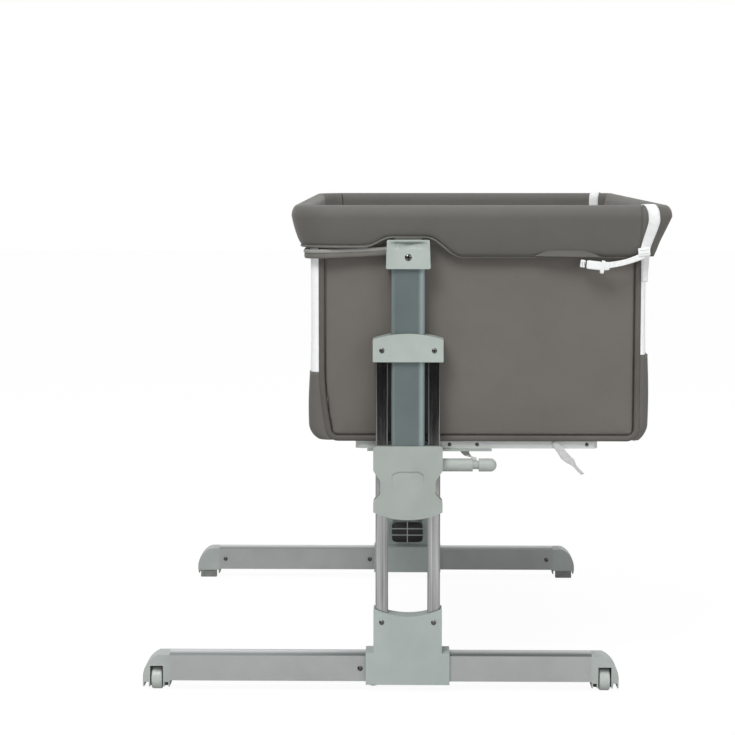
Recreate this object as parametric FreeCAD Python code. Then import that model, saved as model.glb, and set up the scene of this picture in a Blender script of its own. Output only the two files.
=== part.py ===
import FreeCAD, Part
import math
import os

from FreeCAD import Vector

# Bedside sleeper crib, in millimetres. X runs across the crib towards the parents' bed, Y runs along
# its length, Z is up, and the floor is Z = 0. The end seen first is the near end, at negative Y, and
# the far end is its mirror image. The crib stands with its columns at column_x and its basket at the
# middle one of its five heights.

# ---- fits and gaps -------------------------------------------------------------------------------
running_fit = 0.05
seat_gap = 0.2
soft_gap = 0.3
slide_gap = 0.3

# ---- overall -------------------------------------------------------------------------------------
foot_length = 708.0
foot_shift = -40.5
rim_width = 560.0
rim_length = 930.0
foot_inset = 5.5
basket_shift = 106.5

# ---- feet ----------------------------------------------------------------------------------------
beam_depth = 42.0
beam_wall = 2.2
beam_bottom = 15.5
beam_face = 38.5
crown_rise = 3.0
crown_step = 1.2
cap_length = 40.0
cap_round = 37.0
cap_skirt = 9.5
cap_skirt_notch = 7.0
spigot_length = 30.0
wheel_diameter = 33.0
wheel_width = 16.0
wheel_setback = 20.5
wheel_proud = 0.5
wheel_side_gap = 1.7
pocket_head_gap = 4.5
wheel_round = 2.5
axle_diameter = 5.0
axle_grip = 5.0
pad_width = 30.0
pad_depth = 7.0
pad_recess = 2.0
screw_head = 8.0
screw_rise = 0.8
screw_shank = 4.0
cap_screw_inset = 52.0
stop_screw_shift = -30.0
stop_screw_sink = 1.9

# ---- base brackets -------------------------------------------------------------------------------
liner_wall = 1.2
sleeve_wall = 3.0
sleeve_length = 124.5
bracket_width = 101.5
bracket_depth = 34.0
bracket_top = 125.5
bracket_dip = 11.4
bracket_screw_drop = 20.0
grille_width = 58.0
grille_bottom = 76.0
grille_height = 32.0
grille_depth = 5.0
grille_rib = 2.0
lock_shift = -51.0
lock_width = 20.0
lock_length = 26.0
lock_drop = 4.2
lock_pin = 8.0
lock_travel = 4.0
slide_step = 71.5
slide_steps = 2
seat_swell = 2.6

# ---- rails and collars ---------------------------------------------------------------------------
rail_pitch = 77.0
rail_width = 18.6
rail_depth = 20.0
rail_wall = 1.8
rail_round = 3.0
rail_foot = 68.0
rail_top = 517.0
height_step = 45.0
height_steps = 5
collar_width = 103.6
collar_depth = 36.0
collar_bottom = 492.8
collar_side = 33.1
collar_rise = 8.5
collar_screw_rise = 17.0

# ---- central tubes and top brackets --------------------------------------------------------------
tube_width = 49.6
tube_depth = 24.0
tube_wall = 1.8
tube_round = 7.0
tube_guide_gap = 0.6
top_bracket_width = 65.4
top_bracket_depth = 35.0
top_bracket_drop = 77.8
top_bracket_height = 42.4
top_bracket_lip = 5.0
scoop_width = 44.0
scoop_depth = 3.0
saddle_width = 40.0
saddle_wall = 4.5
saddle_setback = 5.5
saddle_seat = 4.0
big_screw_head = 10.5

# ---- height housings -----------------------------------------------------------------------------
housing_width = 102.3
housing_depth = 34.0
housing_top = 368.1
housing_bottom = 258.8
housing_rise = 11.5
waist_width = 81.4
waist_low = 297.7
waist_high = 316.9
waist_flare = 15.0
housing_round = 4.0
rail_channel_gap = 0.3
tube_foot = 338.0
lock_height = 310.0
brow_width = 47.0
brow_height = 331.0
brow_depth = 1.6
brow_fade = 26.0
pin_diameter = 8.0
pin_length = 26.0
pin_engagement = 5.6
peg_diameter = 3.0
peg_length = 9.0
peg_inset = 3.0
pin_travel = 6.0
release_travel = 8.0
release_width = 34.0
release_plate = 3.0
release_low = 262.0
release_pad = 12.0
mechanism_top = 334.0

# ---- strap posts ---------------------------------------------------------------------------------
post_diameter = 19.4
post_height = 338.0
post_reach = 80.0
post_neck = 12.7
post_neck_length = 9.0
post_neck_start = 44.5
post_dome = 8.0
post_seat = 2.1
post_setback = 6.0

# ---- rim -----------------------------------------------------------------------------------------
rim_tube = 16.0
rim_tube_wall = 1.5
rim_tube_height = 707.0
rim_bend_radius = 58.0
rim_top_rise = 15.0
rim_widest_drop = 2.0
rim_overhang = 10.5
rim_crown = [(1.5, 9.0), (4.5, 2.5), (9.0, 0.0)]
rim_hollow_crown = [(0.0, 6.2), (2.5, 2.0), (5.9, 0.0)]
cover_room = 0.4
skirt_wall = 2.4
hem_tuck = 18.0
inner_hem_drop = 44.0
inner_hem_tuck = 7.0
side_hem_drop = 60.0
side_hem_tuck = 31.5
left_hem_drop = 44.0
arch_drop = 30.0
arch_half = 30.0
arch_slope = 34.0
cover_corner = 30.0
rim_split = 340.0
split_gap = 0.4
plug_length = 15.0
nose_diameter = 10.0
nose_length = 9.0

# ---- basket --------------------------------------------------------------------------------------
basket_bottom = 372.3
basket_width = 502.0
basket_face_inset = 37.5
side_shift = 104.5
panel_wall = 8.0
panel_crown = 2.5
panel_bevel = 9.0
panel_top_drop = 17.0
panel_inset_left = 20.0
panel_inset_right = 18.0
panel_corner = 14.0
seam_gap = 0.5
wrap_round = 17.0
side_wall = 7.0
side_corner = 20.0
mesh_wall = 1.5
mesh_lap = 4.0
mesh_inset = 1.4
drop_mesh_inset = 3.6
left_mesh_low = 474.0
barrier_height = 492.0
barrier_tube = 16.0
cloth_wall = 1.7
board_wall = 6.0
mattress_height = 50.0
mattress_crown = 6.0
mattress_gap = 9.0
mattress_corner = 45.0
mattress_edge_draw = 5.0
hinge_out = 2.0
lower_bar_depth = 25.0
lower_bar_height = 12.0
lower_bar_wall = 1.5
lower_frame_width = 360.0
lower_frame_shift = 102.0
lower_frame_inset = 44.0
lower_bar_round = 10.0
lug_wall = 3.0
lug_width = 185.0
lug_shift = 32.0
lug_reach = 30.0
lug_drop = 28.0
rivet_head = 6.0
rivet_first = 62.0
rivet_second = 103.0
rivet_inset = 16.0
rivet_rise = 0.8
rivet_shank = 3.0
rivet_length = 9.0

# ---- straps --------------------------------------------------------------------------------------
strap_width = 17.0
thin_strap = 12.0
strap_wall = 1.4
strap_top_shift = 361.0
strap_bottom_shift = 346.0
buckle_width = 20.0
buckle_wall = 8.0
adjuster_size = 20.0
buckle_drop = 73.0
buckle_shift = 272.0
buckle_setback = 8.8
junction_setback = 11.6

# ---- places worked out from the sizes ------------------------------------------------------------
beyond = 2 * rim_length
rim_top = rim_tube_height + rim_top_rise
rim_widest = rim_tube_height - rim_widest_drop
inner_hem_height = rim_tube_height - inner_hem_drop
side_hem_height = rim_tube_height - side_hem_drop
left_hem_height = rim_tube_height - left_hem_drop
arch_top = rim_tube_height - arch_drop
panel_top = rim_tube_height - panel_top_drop
top_bracket_bottom = rim_tube_height - top_bracket_drop
foot_spread = rim_length - 2 * foot_inset
basket_face = rim_length / 2 - basket_face_inset
lower_frame_end = rim_length / 2 - lower_frame_inset
column_x = (foot_length / 2 - foot_shift - basket_shift - rim_width / 2) / 2
foot_x = column_x + foot_shift
foot_y = -foot_spread / 2
beam_y = foot_y + beam_depth / 2
beam_top = beam_bottom + beam_face
sleeve_skin = slide_gap + liner_wall + sleeve_wall
column_face = foot_y - sleeve_skin
column_y = column_face + bracket_depth / 2
rim_x = column_x + basket_shift
rim_left = rim_x - rim_width / 2 + rim_overhang
split_x = column_x + rim_split
rim_right = rim_x + rim_width / 2 - rim_overhang
rim_y = -rim_length / 2 + rim_overhang
side_x = column_x + side_shift
side_left = side_x - basket_width / 2
side_right = side_x + basket_width / 2
end_y = -basket_face
hinge_x = side_right + hinge_out
hinge_z = barrier_height + barrier_tube / 2 + 2 * soft_gap


# ---- plain solids --------------------------------------------------------------------------------
def box(x0, x1, y0, y1, z0, z1):
    return Part.makeBox(x1 - x0, y1 - y0, z1 - z0, Vector(x0, y0, z0))


def rod_x(diameter, x0, x1, y, z):
    return Part.makeCylinder(diameter / 2, x1 - x0, Vector(x0, y, z), Vector(1, 0, 0))


def rod_y(diameter, x, y0, y1, z):
    return Part.makeCylinder(diameter / 2, y1 - y0, Vector(x, y0, z), Vector(0, 1, 0))


def rod_z(diameter, x, y, z0, z1):
    return Part.makeCylinder(diameter / 2, z1 - z0, Vector(x, y, z0), Vector(0, 0, 1))


def to_far_end(shape):
    return shape.mirror(Vector(0, 0, 0), Vector(0, 1, 0))


def across_x(shape, centre):
    return shape.mirror(Vector(centre, 0, 0), Vector(1, 0, 0))


def joined(shapes):
    whole = shapes[0].multiFuse(shapes[1:])
    return whole.removeSplitter()


def rounded_wire(corners, place):
    """A closed outline through corners (u, v, radius), each rounded by its radius."""
    count = len(corners)
    points = [Vector(u, v, 0) for u, v, _ in corners]
    stops = []
    for i in range(count):
        here = points[i]
        back = (points[i - 1] - here).normalize()
        ahead = (points[(i + 1) % count] - here).normalize()
        radius = corners[i][2]
        if radius <= 0:
            stops.append((here, None, here))
            continue
        half = back.getAngle(ahead) / 2
        reach = radius / math.tan(half)
        inward = (back + ahead).normalize()
        middle = here + inward * (radius / math.sin(half) - radius)
        stops.append((here + back * reach, middle, here + ahead * reach))
    edges = []
    for i in range(count):
        start, middle, end = stops[i]
        if middle is not None:
            edges.append(Part.Arc(place(start), place(middle), place(end)).toShape())
        following = stops[(i + 1) % count][0]
        if (following - end).Length > 1e-6:
            edges.append(Part.LineSegment(place(end), place(following)).toShape())
    return Part.Wire(edges)


def upright(y):
    return lambda p: Vector(p.x, y, p.y)


def level(z):
    return lambda p: Vector(p.x, p.y, z)


def plate_xz(corners, y0, y1):
    return Part.Face(rounded_wire(corners, upright(y0))).extrude(Vector(0, y1 - y0, 0))


def plate_xy(corners, z0, z1):
    return Part.Face(rounded_wire(corners, level(z0))).extrude(Vector(0, 0, z1 - z0))


def rectangle(u0, u1, v0, v1, radius=0.0):
    return [(u0, v0, radius), (u1, v0, radius), (u1, v1, radius), (u0, v1, radius)]


def upright_bar(width, depth, radius, x, y, z0, z1):
    outline = rectangle(x - width / 2, x + width / 2, y - depth / 2, y + depth / 2, radius)
    return plate_xy(outline, z0, z1)


def arc_radius(half_chord, rise):
    return (half_chord ** 2 + rise ** 2) / (2 * rise)


def ribbon(centres, halves, wall):
    """Flat webbing through centres; halves are its half widths, and wall is its thickness."""
    rings = []
    for i, centre in enumerate(centres):
        before = centres[max(i - 1, 0)]
        after = centres[min(i + 1, len(centres) - 1)]
        side = halves[i]
        lift = (after - before).cross(side).normalize() * (wall / 2)
        rings.append([centre - side - lift, centre + side - lift, centre + side + lift, centre - side + lift])
    faces = []
    for first, second in zip(rings, rings[1:]):
        for i in range(4):
            j = (i + 1) % 4
            for corner in ([first[i], first[j], second[j]], [first[i], second[j], second[i]]):
                faces.append(Part.Face(Part.makePolygon(corner + [corner[0]])))
    for ring in (rings[0], rings[-1]):
        for corner in ([ring[0], ring[1], ring[2]], [ring[0], ring[2], ring[3]]):
            faces.append(Part.Face(Part.makePolygon(corner + [corner[0]])))
    shell = Part.makeShell(faces)
    shell.sewShape()
    solid = Part.makeSolid(shell)
    if solid.Volume < 0:
        solid.reverse()
    return solid


def domed_head(x, face, z, diameter, rise, inward=1):
    """A shallow dome that stands on the plane Y = face, away from the way its shank goes."""
    radius = arc_radius(diameter / 2, rise)
    ball = Part.makeSphere(radius, Vector(x, face - inward * (rise - radius), z))
    low, high = sorted((face - inward * 2 * rise, face))
    half = diameter
    return ball.common(box(x - half, x + half, low, high, z - half, z + half))


def crossed_screw(x, face, z, head, depth, inward=1):
    """A screw with a domed, cross-slotted head on the plane Y = face and a shank that runs inward."""
    rise = screw_rise + head / 8
    cap = domed_head(x, face, z, head, rise, inward)
    slot = head * 0.62
    low, high = sorted((face - inward * rise * 2, face - inward * rise * 0.45))
    for width, height in ((slot, slot / 4), (slot / 4, slot)):
        cap = cap.cut(box(x - width / 2, x + width / 2, low, high, z - height / 2, z + height / 2))
    low, high = sorted((face - inward * rise * 0.3, face + inward * depth))
    return joined([cap, rod_y(screw_shank, x, low, high, z)])


# ---- feet ----------------------------------------------------------------------------------------
def beam_outline(grow):
    """The beam's section in Y and Z, grown evenly: flat faces below a crowned top behind a small step."""
    half = beam_depth / 2 + grow
    low = beam_bottom - grow
    shoulder = beam_top + grow
    inner = half - crown_step
    crest = shoulder + crown_rise
    points = [(-half, shoulder), (-half, low), (half, low), (half, shoulder), (inner, shoulder)]
    places = [Vector(0, beam_y + y, z) for y, z in points]
    edges = [Part.LineSegment(a, b).toShape() for a, b in zip(places, places[1:])]
    left = Vector(0, beam_y - inner, shoulder)
    edges.append(Part.Arc(places[-1], Vector(0, beam_y, crest), left).toShape())
    edges.append(Part.LineSegment(left, places[0]).toShape())
    return Part.Face(Part.Wire(edges))


def beam_bar(grow, x0, x1):
    bar = beam_outline(grow).extrude(Vector(x1 - x0, 0, 0))
    bar.translate(Vector(x0, 0, 0))
    return bar


def stop_screw_x():
    return foot_x + stop_screw_shift


def lock_places():
    rest = column_x + lock_shift
    return [rest - slide_step * i for i in range(slide_steps + 1)]


def lock_slot():
    """The slot in the beam's underside that the slide lock's pin runs in, with a round seat at each step."""
    width = lock_pin + 2 * slide_gap
    places = lock_places()
    top = beam_bottom + 2 * beam_wall
    run = box(places[-1], places[0], beam_y - width / 2, beam_y + width / 2, 0, top)
    ends = [rod_z(width, x, beam_y, 0, top) for x in (places[0], places[-1])]
    seats = [rod_z(width + seat_swell, x, beam_y, 0, top) for x in places[1:-1]]
    return joined([run] + ends + seats)


def foot_beam():
    half = foot_length / 2 - cap_length
    beam = beam_bar(0, foot_x - half, foot_x + half)
    beam = beam.cut(beam_bar(-beam_wall, foot_x - half, foot_x + half))
    beam = beam.cut(lock_slot())
    back = foot_y + beam_depth
    beam = beam.cut(rod_y(screw_shank, stop_screw_x(), foot_y - 1, back + 1, screw_z()))
    seat = screw_head + 2 * seat_gap
    for y0, y1 in ((foot_y - 1, foot_y + stop_screw_sink), (back - stop_screw_sink, back + 1)):
        beam = beam.cut(rod_y(seat, stop_screw_x(), y0, y1, screw_z()))
    for side in (-1, 1):
        x = foot_x + side * (foot_length / 2 - cap_screw_inset)
        beam = beam.cut(rod_y(screw_shank, x, beam_y, foot_y + beam_depth + 1, screw_z()))
    return beam


def screw_z():
    return beam_bottom + beam_face / 2


def wheel_y():
    return foot_y - wheel_proud + wheel_diameter / 2


def left_end_cap():
    """The cap's side outline is a square with one quarter-round top corner; its skirt hides the wheel."""
    outer = foot_x - foot_length / 2
    inner = outer + cap_length
    crest = beam_top + crown_rise
    skirt = beam_bottom - cap_skirt
    outline = [(outer, skirt, 2.0), (inner, skirt, 0), (inner, crest, 0), (outer, crest, cap_round)]
    cap = plate_xz(outline, foot_y, foot_y + beam_depth)
    crown = beam_bar(0, outer, inner)
    crown = joined([crown, box(outer, inner, foot_y, foot_y + beam_depth, 0, beam_bottom + 1)])
    cap = cap.common(crown)
    step = foot_y + beam_depth - pad_depth - pad_recess
    cap = cap.cut(box(outer - 1, inner + 1, step, foot_y + beam_depth + 1, 0, beam_bottom - pad_recess))
    wheel = outer + wheel_setback
    pocket = wheel_width / 2 + wheel_side_gap
    pocket_back = wheel_y() + wheel_diameter / 2 + wheel_side_gap
    ceiling = wheel_diameter + pocket_head_gap
    cap = cap.cut(box(wheel - pocket, wheel + pocket, foot_y - 1, pocket_back, 0, ceiling))
    wall = 2.0
    for x0, x1 in ((outer + wall, wheel - pocket - wall), (wheel + pocket + wall, inner - wall)):
        cap = cap.cut(box(x0, x1, foot_y - 1, pocket_back, 0, skirt + cap_skirt_notch))
    reach = axle_grip + pocket
    cap = cap.cut(rod_x(axle_diameter, wheel - reach, wheel + reach, wheel_y(), wheel_diameter / 2))
    spigot = beam_bar(-beam_wall - seat_gap, inner - 1, inner + spigot_length)
    hollow = beam_bar(-3 * beam_wall, inner - 2, inner + spigot_length + 1)
    spigot = spigot.cut(hollow)
    spigot = spigot.cut(rod_y(screw_shank, outer + cap_screw_inset, beam_y, foot_y + beam_depth, screw_z()))
    return joined([cap, spigot])


def wheel_places():
    left = foot_x - foot_length / 2 + wheel_setback
    return left, 2 * foot_x - left


def wheel(x):
    tyre = rod_x(wheel_diameter, x - wheel_width / 2, x + wheel_width / 2, wheel_y(), wheel_diameter / 2)
    rims = [edge for edge in tyre.Edges if edge.Curve.TypeId == "Part::GeomCircle"]
    tyre = tyre.makeFillet(wheel_round, rims)
    hub = axle_diameter + 2 * running_fit
    return tyre.cut(rod_x(hub, x - wheel_width, x + wheel_width, wheel_y(), wheel_diameter / 2))


def axle(x):
    reach = axle_grip + wheel_width / 2 + wheel_side_gap
    return rod_x(axle_diameter, x - reach, x + reach, wheel_y(), wheel_diameter / 2)


def floor_pad(left):
    outer = foot_x - foot_length / 2
    x0 = outer + (cap_length - pad_width) / 2
    back = foot_y + beam_depth
    outline = rectangle(x0, x0 + pad_width, 0, beam_bottom - pad_recess, 1.5)
    pad = plate_xz(outline, back - pad_depth - pad_recess + seat_gap, back - pad_recess)
    return pad if left else across_x(pad, foot_x)


def foot_screws():
    back = foot_y + beam_depth
    sink = stop_screw_sink
    length = beam_depth / 2 - sink - 1
    screws = [crossed_screw(stop_screw_x(), foot_y + sink, screw_z(), screw_head, length)]
    screws.append(crossed_screw(stop_screw_x(), back - sink, screw_z(), screw_head, length, -1))
    for side in (-1, 1):
        x = foot_x + side * (foot_length / 2 - cap_screw_inset)
        screws.append(crossed_screw(x, back, screw_z(), screw_head, 3 * beam_wall, -1))
    return screws


# ---- base brackets -------------------------------------------------------------------------------
def rail_places():
    return column_x - rail_pitch / 2, column_x + rail_pitch / 2


def bracket_screw_z():
    return bracket_top - bracket_screw_drop


def base_bracket():
    """A sleeve round the beam, and above it an upright block with a dished top that holds the rails."""
    half = sleeve_length / 2
    sleeve = beam_bar(sleeve_skin, column_x - half, column_x + half)
    block = plate_xz(
        rectangle(column_x - bracket_width / 2, column_x + bracket_width / 2, beam_bottom, bracket_top, 2.5),
        column_face,
        column_face + bracket_depth,
    )
    bracket = joined([sleeve, block])
    radius = arc_radius(bracket_width / 2, bracket_dip)
    dish = rod_y(2 * radius, column_x, column_face - 1, 0, bracket_top - bracket_dip + radius)
    bracket = bracket.cut(dish)
    bracket = bracket.cut(beam_bar(slide_gap + liner_wall, column_x - half - 1, column_x + half + 1))
    for x in rail_places():
        seat = upright_bar(
            rail_width + 2 * seat_gap,
            rail_depth + 2 * seat_gap,
            rail_round,
            x,
            column_y,
            rail_foot,
            bracket_top + 1,
        )
        bracket = bracket.cut(seat)
        bracket = bracket.cut(rod_y(screw_shank, x, column_face - 1, column_y, bracket_screw_z()))
    bracket = bracket.cut(grille_pockets())
    x = column_x + lock_shift
    return bracket.cut(rod_z(lock_pin + 2 * slide_gap, x, beam_y, 0, beam_bottom + 1))


def grille_pockets():
    """Moulded pockets in the bracket's inner face: three rows of two, parted by thin ribs."""
    back = column_face + bracket_depth
    rows = 3
    columns = 2
    tall = (grille_height - grille_rib * (rows - 1)) / rows
    wide = (grille_width - grille_rib * (columns - 1)) / columns
    left = column_x - grille_width / 2
    pockets = []
    for i in range(rows):
        for j in range(columns):
            x = left + j * (wide + grille_rib)
            z = grille_bottom + i * (tall + grille_rib)
            pockets.append(box(x, x + wide, back - grille_depth, back + 1, z, z + tall))
    between = rail_pitch - rail_width - 2 * (seat_gap + beam_wall)
    room = box(column_x - between / 2, column_x + between / 2, column_face, back + 1, 0, bracket_top)
    return Part.makeCompound(pockets).common(room)


def slide_liners():
    """Thin plastic linings inside the sleeve, one near each of its ends."""
    length = sleeve_length / 4
    outer = beam_bar(slide_gap + liner_wall, 0, length)
    liner = outer.cut(beam_bar(slide_gap, -1, length + 1))
    rings = []
    for x in (column_x - sleeve_length / 2 + 2, column_x + sleeve_length / 2 - 2 - length):
        ring = liner.copy()
        ring.translate(Vector(x, 0, 0))
        pin = rod_z(lock_pin + 2 * slide_gap, column_x + lock_shift, beam_y, 0, beam_bottom + 1)
        rings.append(ring.cut(pin))
    return rings


def slide_lock():
    """A domed knob under the sleeve with a pin that runs in the beam's slot until it is pulled down."""
    x = column_x + lock_shift
    low = beam_bottom - sleeve_skin
    radius = arc_radius(lock_width / 2, lock_drop)
    dome = rod_y(2 * radius, x, beam_y - lock_length / 2, beam_y + lock_length / 2, low - lock_drop + radius)
    top = low - seat_gap
    keep = box(x - lock_width, x + lock_width, beam_y - lock_length, beam_y + lock_length, 0, top)
    pin = rod_z(lock_pin, x, beam_y, top - 1, beam_bottom + beam_wall + 1)
    return joined([dome.common(keep), pin])


def bracket_screws():
    return [crossed_screw(x, column_face, bracket_screw_z(), screw_head, 7) for x in rail_places()]


# ---- rails, collars, central tubes ---------------------------------------------------------------
def pin_slot(face):
    """The slot in a rail's inner wall that a lock pin runs in, with a round seat at each height."""
    width = pin_diameter + 2 * slide_gap
    x0 = face - 2 * rail_wall
    x1 = face + 2 * rail_wall
    half = height_step * (height_steps - 1) / 2
    heights = [lock_height - half + height_step * i for i in range(height_steps)]
    run = box(x0, x1, column_y - width / 2, column_y + width / 2, heights[0], heights[-1])
    ends = [rod_x(width, x0, x1, column_y, z) for z in (heights[0], heights[-1])]
    seats = [rod_x(width + seat_swell, x0, x1, column_y, z) for z in heights[1:-1]]
    return joined([run] + ends + seats)


def rail(x):
    bar = upright_bar(rail_width, rail_depth, rail_round, x, column_y, rail_foot, rail_top)
    core_round = rail_round - rail_wall
    hollow = upright_bar(
        rail_width - 2 * rail_wall,
        rail_depth - 2 * rail_wall,
        core_round,
        x,
        column_y,
        rail_foot - 1,
        rail_top + 1,
    )
    bar = bar.cut(hollow)
    bar = bar.cut(pin_slot(x + math.copysign(rail_width / 2, column_x - x)))
    for z in (bracket_screw_z(), collar_bottom + collar_screw_rise):
        bar = bar.cut(rod_y(screw_shank, x, column_y - rail_depth, column_y, z))
    return bar


def collar():
    """A bridge over both rails with an arched top, open in the middle for the central tube."""
    half = collar_width / 2
    front = column_y - collar_depth / 2
    top = collar_bottom + collar_side + collar_rise
    block = plate_xz(
        rectangle(column_x - half, column_x + half, collar_bottom, top, 1.5),
        front,
        front + collar_depth,
    )
    radius = arc_radius(half, collar_rise)
    arch = rod_y(2 * radius, column_x, front, front + collar_depth, top - radius)
    block = block.common(arch)
    for x in rail_places():
        seat = upright_bar(
            rail_width + 2 * seat_gap,
            rail_depth + 2 * seat_gap,
            rail_round,
            x,
            column_y,
            collar_bottom - 1,
            rail_top + seat_gap,
        )
        block = block.cut(seat)
        hole = rod_y(screw_shank, x, front - 1, column_y, collar_bottom + collar_screw_rise)
        block = block.cut(hole)
    guide = upright_bar(
        tube_width + 2 * tube_guide_gap,
        tube_depth + 2 * tube_guide_gap,
        tube_round,
        column_x,
        column_y,
        collar_bottom - 1,
        top + 1,
    )
    return block.cut(guide)


def collar_screws():
    front = column_y - collar_depth / 2
    z = collar_bottom + collar_screw_rise
    return [crossed_screw(x, front, z, screw_head, 7.5) for x in rail_places()]


def top_bracket_top():
    return top_bracket_bottom + top_bracket_height


def central_tube():
    low = tube_foot
    high = top_bracket_top() - top_bracket_lip
    bar = upright_bar(tube_width, tube_depth, tube_round, column_x, column_y, low, high)
    hollow = upright_bar(
        tube_width - 2 * tube_wall,
        tube_depth - 2 * tube_wall,
        tube_round - tube_wall,
        column_x,
        column_y,
        low - 1,
        high + 1,
    )
    bar = bar.cut(hollow)
    z = top_bracket_bottom + top_bracket_height * 0.4
    return bar.cut(rod_y(screw_shank, column_x, column_y - tube_depth, column_y, z))


def top_bracket():
    """A cap over the tube's head with a lip and a scoop in front, and a saddle under the rim tube."""
    half = top_bracket_width / 2
    front = column_y - top_bracket_depth / 2
    back = front + top_bracket_depth
    top = top_bracket_top()
    outline = [
        (column_x - half, top_bracket_bottom, 2.5),
        (column_x + half, top_bracket_bottom, 2.5),
        (column_x + half - 1.5, top, 2.0),
        (column_x - half + 1.5, top, 2.0),
    ]
    body = plate_xz(outline, front, back)
    scoop_radius = arc_radius(scoop_width / 2, scoop_depth * 2.5)
    scoop = rod_z(2 * scoop_radius, column_x, front + scoop_depth - scoop_radius, top - 14, top - 4)
    body = body.cut(scoop)
    left = column_x - saddle_width / 2
    right = column_x + saddle_width / 2
    tongue_front = rim_y + saddle_setback - saddle_wall / 2
    tongue_back = rim_y + saddle_setback + saddle_wall / 2
    under = rim_tube_height - rim_tube / 2
    tongue = box(left, right, tongue_front, tongue_back, top - top_bracket_lip, under + saddle_seat)
    seat = box(left, right, rim_y - saddle_seat, rim_y + 2 * saddle_seat, under - 3, under + saddle_seat)
    body = joined([body, tongue, seat])
    body = body.cut(rod_x(rim_tube + 2 * seat_gap, column_x - half, column_x + half, rim_y, rim_tube_height))
    socket = upright_bar(
        tube_width + 2 * seat_gap,
        tube_depth + 2 * seat_gap,
        tube_round,
        column_x,
        column_y,
        top_bracket_bottom - 1,
        top - top_bracket_lip,
    )
    body = body.cut(socket)
    z = top_bracket_bottom + top_bracket_height * 0.4
    return body.cut(rod_y(screw_shank, column_x, front - 1, column_y, z))


def top_bracket_screw():
    front = column_y - top_bracket_depth / 2
    z = top_bracket_bottom + top_bracket_height * 0.4
    return crossed_screw(column_x, front, z, big_screw_head, 7)


# ---- height housings -----------------------------------------------------------------------------
def housing_block():
    """Both shells together: a block with a waist, an arched foot and channels for rails and tube."""
    half = housing_width / 2
    waist = waist_width / 2
    flare = waist_flare
    right = [
        (half, housing_top, housing_round),
        (half, waist_high + flare, 9.0),
        (waist, waist_high, 9.0),
        (waist, waist_low, 9.0),
        (half, waist_low - flare + 2, 5.0),
        (half, housing_bottom, 0),
    ]
    left = [(-x, z, radius) for x, z, radius in reversed(right)]
    outline = [(column_x + x, z, radius) for x, z, radius in right + left]
    front = column_y - housing_depth / 2
    block = plate_xz(outline, front, front + housing_depth)
    radius = arc_radius(half, housing_rise)
    foot = box(column_x - half, column_x + half, front, front + housing_depth, 0, housing_bottom + housing_rise)
    foot = foot.cut(rod_y(2 * radius, column_x, front - 1, 0, housing_bottom + radius))
    block = block.cut(foot)
    for x in rail_places():
        channel = upright_bar(
            rail_width + 2 * rail_channel_gap,
            rail_depth + 2 * rail_channel_gap,
            rail_round,
            x,
            column_y,
            housing_bottom - 1,
            housing_top + 1,
        )
        block = block.cut(channel)
    seat = upright_bar(
        tube_width + 2 * seat_gap,
        tube_depth + 2 * seat_gap,
        tube_round,
        column_x,
        column_y,
        tube_foot - seat_gap,
        housing_top + 1,
    )
    block = block.cut(seat)
    block = block.cut(mechanism_room())
    return block.cut(post_hole())


def mechanism_room():
    """The hollow between the rails that holds the release plate, its pins and their spring."""
    wide = release_width / 2 + 1
    deep = tube_depth / 2 - 2
    room = box(
        column_x - wide,
        column_x + wide,
        column_y - deep,
        column_y + deep,
        housing_bottom - 1,
        mechanism_top - 4,
    )
    outer = rail_pitch / 2 - rail_width / 2
    bores = rod_x(pin_diameter + 2 * running_fit, column_x - outer, column_x + outer, column_y, lock_height)
    return joined([room, bores])


def post_hole():
    x = column_x + housing_width / 2 - post_seat
    return rod_x(post_diameter + 2 * seat_gap, x, x + 20, post_y(), post_height)


def post_y():
    return column_y + post_setback


def brow():
    """A shallow scoop in the front face, deepest under its top edge, for the user's thumb."""
    front = column_y - housing_depth / 2
    half = brow_width / 2
    outline = [
        (column_x - half, brow_height - brow_fade, 0),
        (column_x + half, brow_height - brow_fade, 0),
        (column_x + half, brow_height - 4, 4.0),
        (column_x + half - 9, brow_height, 4.0),
        (column_x - half + 9, brow_height, 4.0),
        (column_x - half, brow_height - 4, 4.0),
    ]
    prism = plate_xz(outline, front - 1, front + brow_depth)
    slope = Part.makePolygon(
        [
            Vector(column_x - half, front, brow_height - brow_fade),
            Vector(column_x - half, front + brow_depth, brow_height),
            Vector(column_x - half, front - 2, brow_height),
            Vector(column_x - half, front - 2, brow_height - brow_fade),
            Vector(column_x - half, front, brow_height - brow_fade),
        ]
    )
    wedge = Part.Face(slope).extrude(Vector(brow_width, 0, 0))
    return prism.common(wedge)


def housing_shells():
    block = housing_block()
    far_side = column_y + housing_depth
    wide = housing_width
    high = 2 * housing_top
    front_half = box(column_x - wide, column_x + wide, column_y - wide, column_y, 0, high)
    back_half = box(column_x - wide, column_x + wide, column_y, far_side, 0, high)
    return block.common(front_half).cut(brow()), joined([block.common(back_half), frame_lug()])


def frame_lug():
    """The back shell's flange, which carries the lower frame's cross bar."""
    top = basket_bottom - soft_gap - lower_bar_height
    back = column_y + housing_depth / 2
    x0 = column_x + lug_shift - lug_width / 2
    shelf = box(x0, x0 + lug_width, back - 1, back + lug_reach, top - lug_wall, top)
    half = tube_width / 2
    tab = box(column_x - half, column_x + half, back - 1, back + lug_wall, top - lug_drop, top)
    return joined([shelf, tab])


def pin_places():
    """The outer tips of the left and right lock pins, which stand inside the rails' inner walls."""
    tip = rail_pitch / 2 - rail_width / 2 + pin_engagement
    return column_x - tip, column_x + tip


def lock_pin_right():
    tip = pin_places()[1]
    pin = rod_x(pin_diameter, tip - pin_length, tip, column_y, lock_height)
    peg_x = tip - pin_length + peg_inset
    peg = rod_y(peg_diameter, peg_x, column_y - peg_length, column_y, lock_height)
    return joined([pin, peg])


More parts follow.
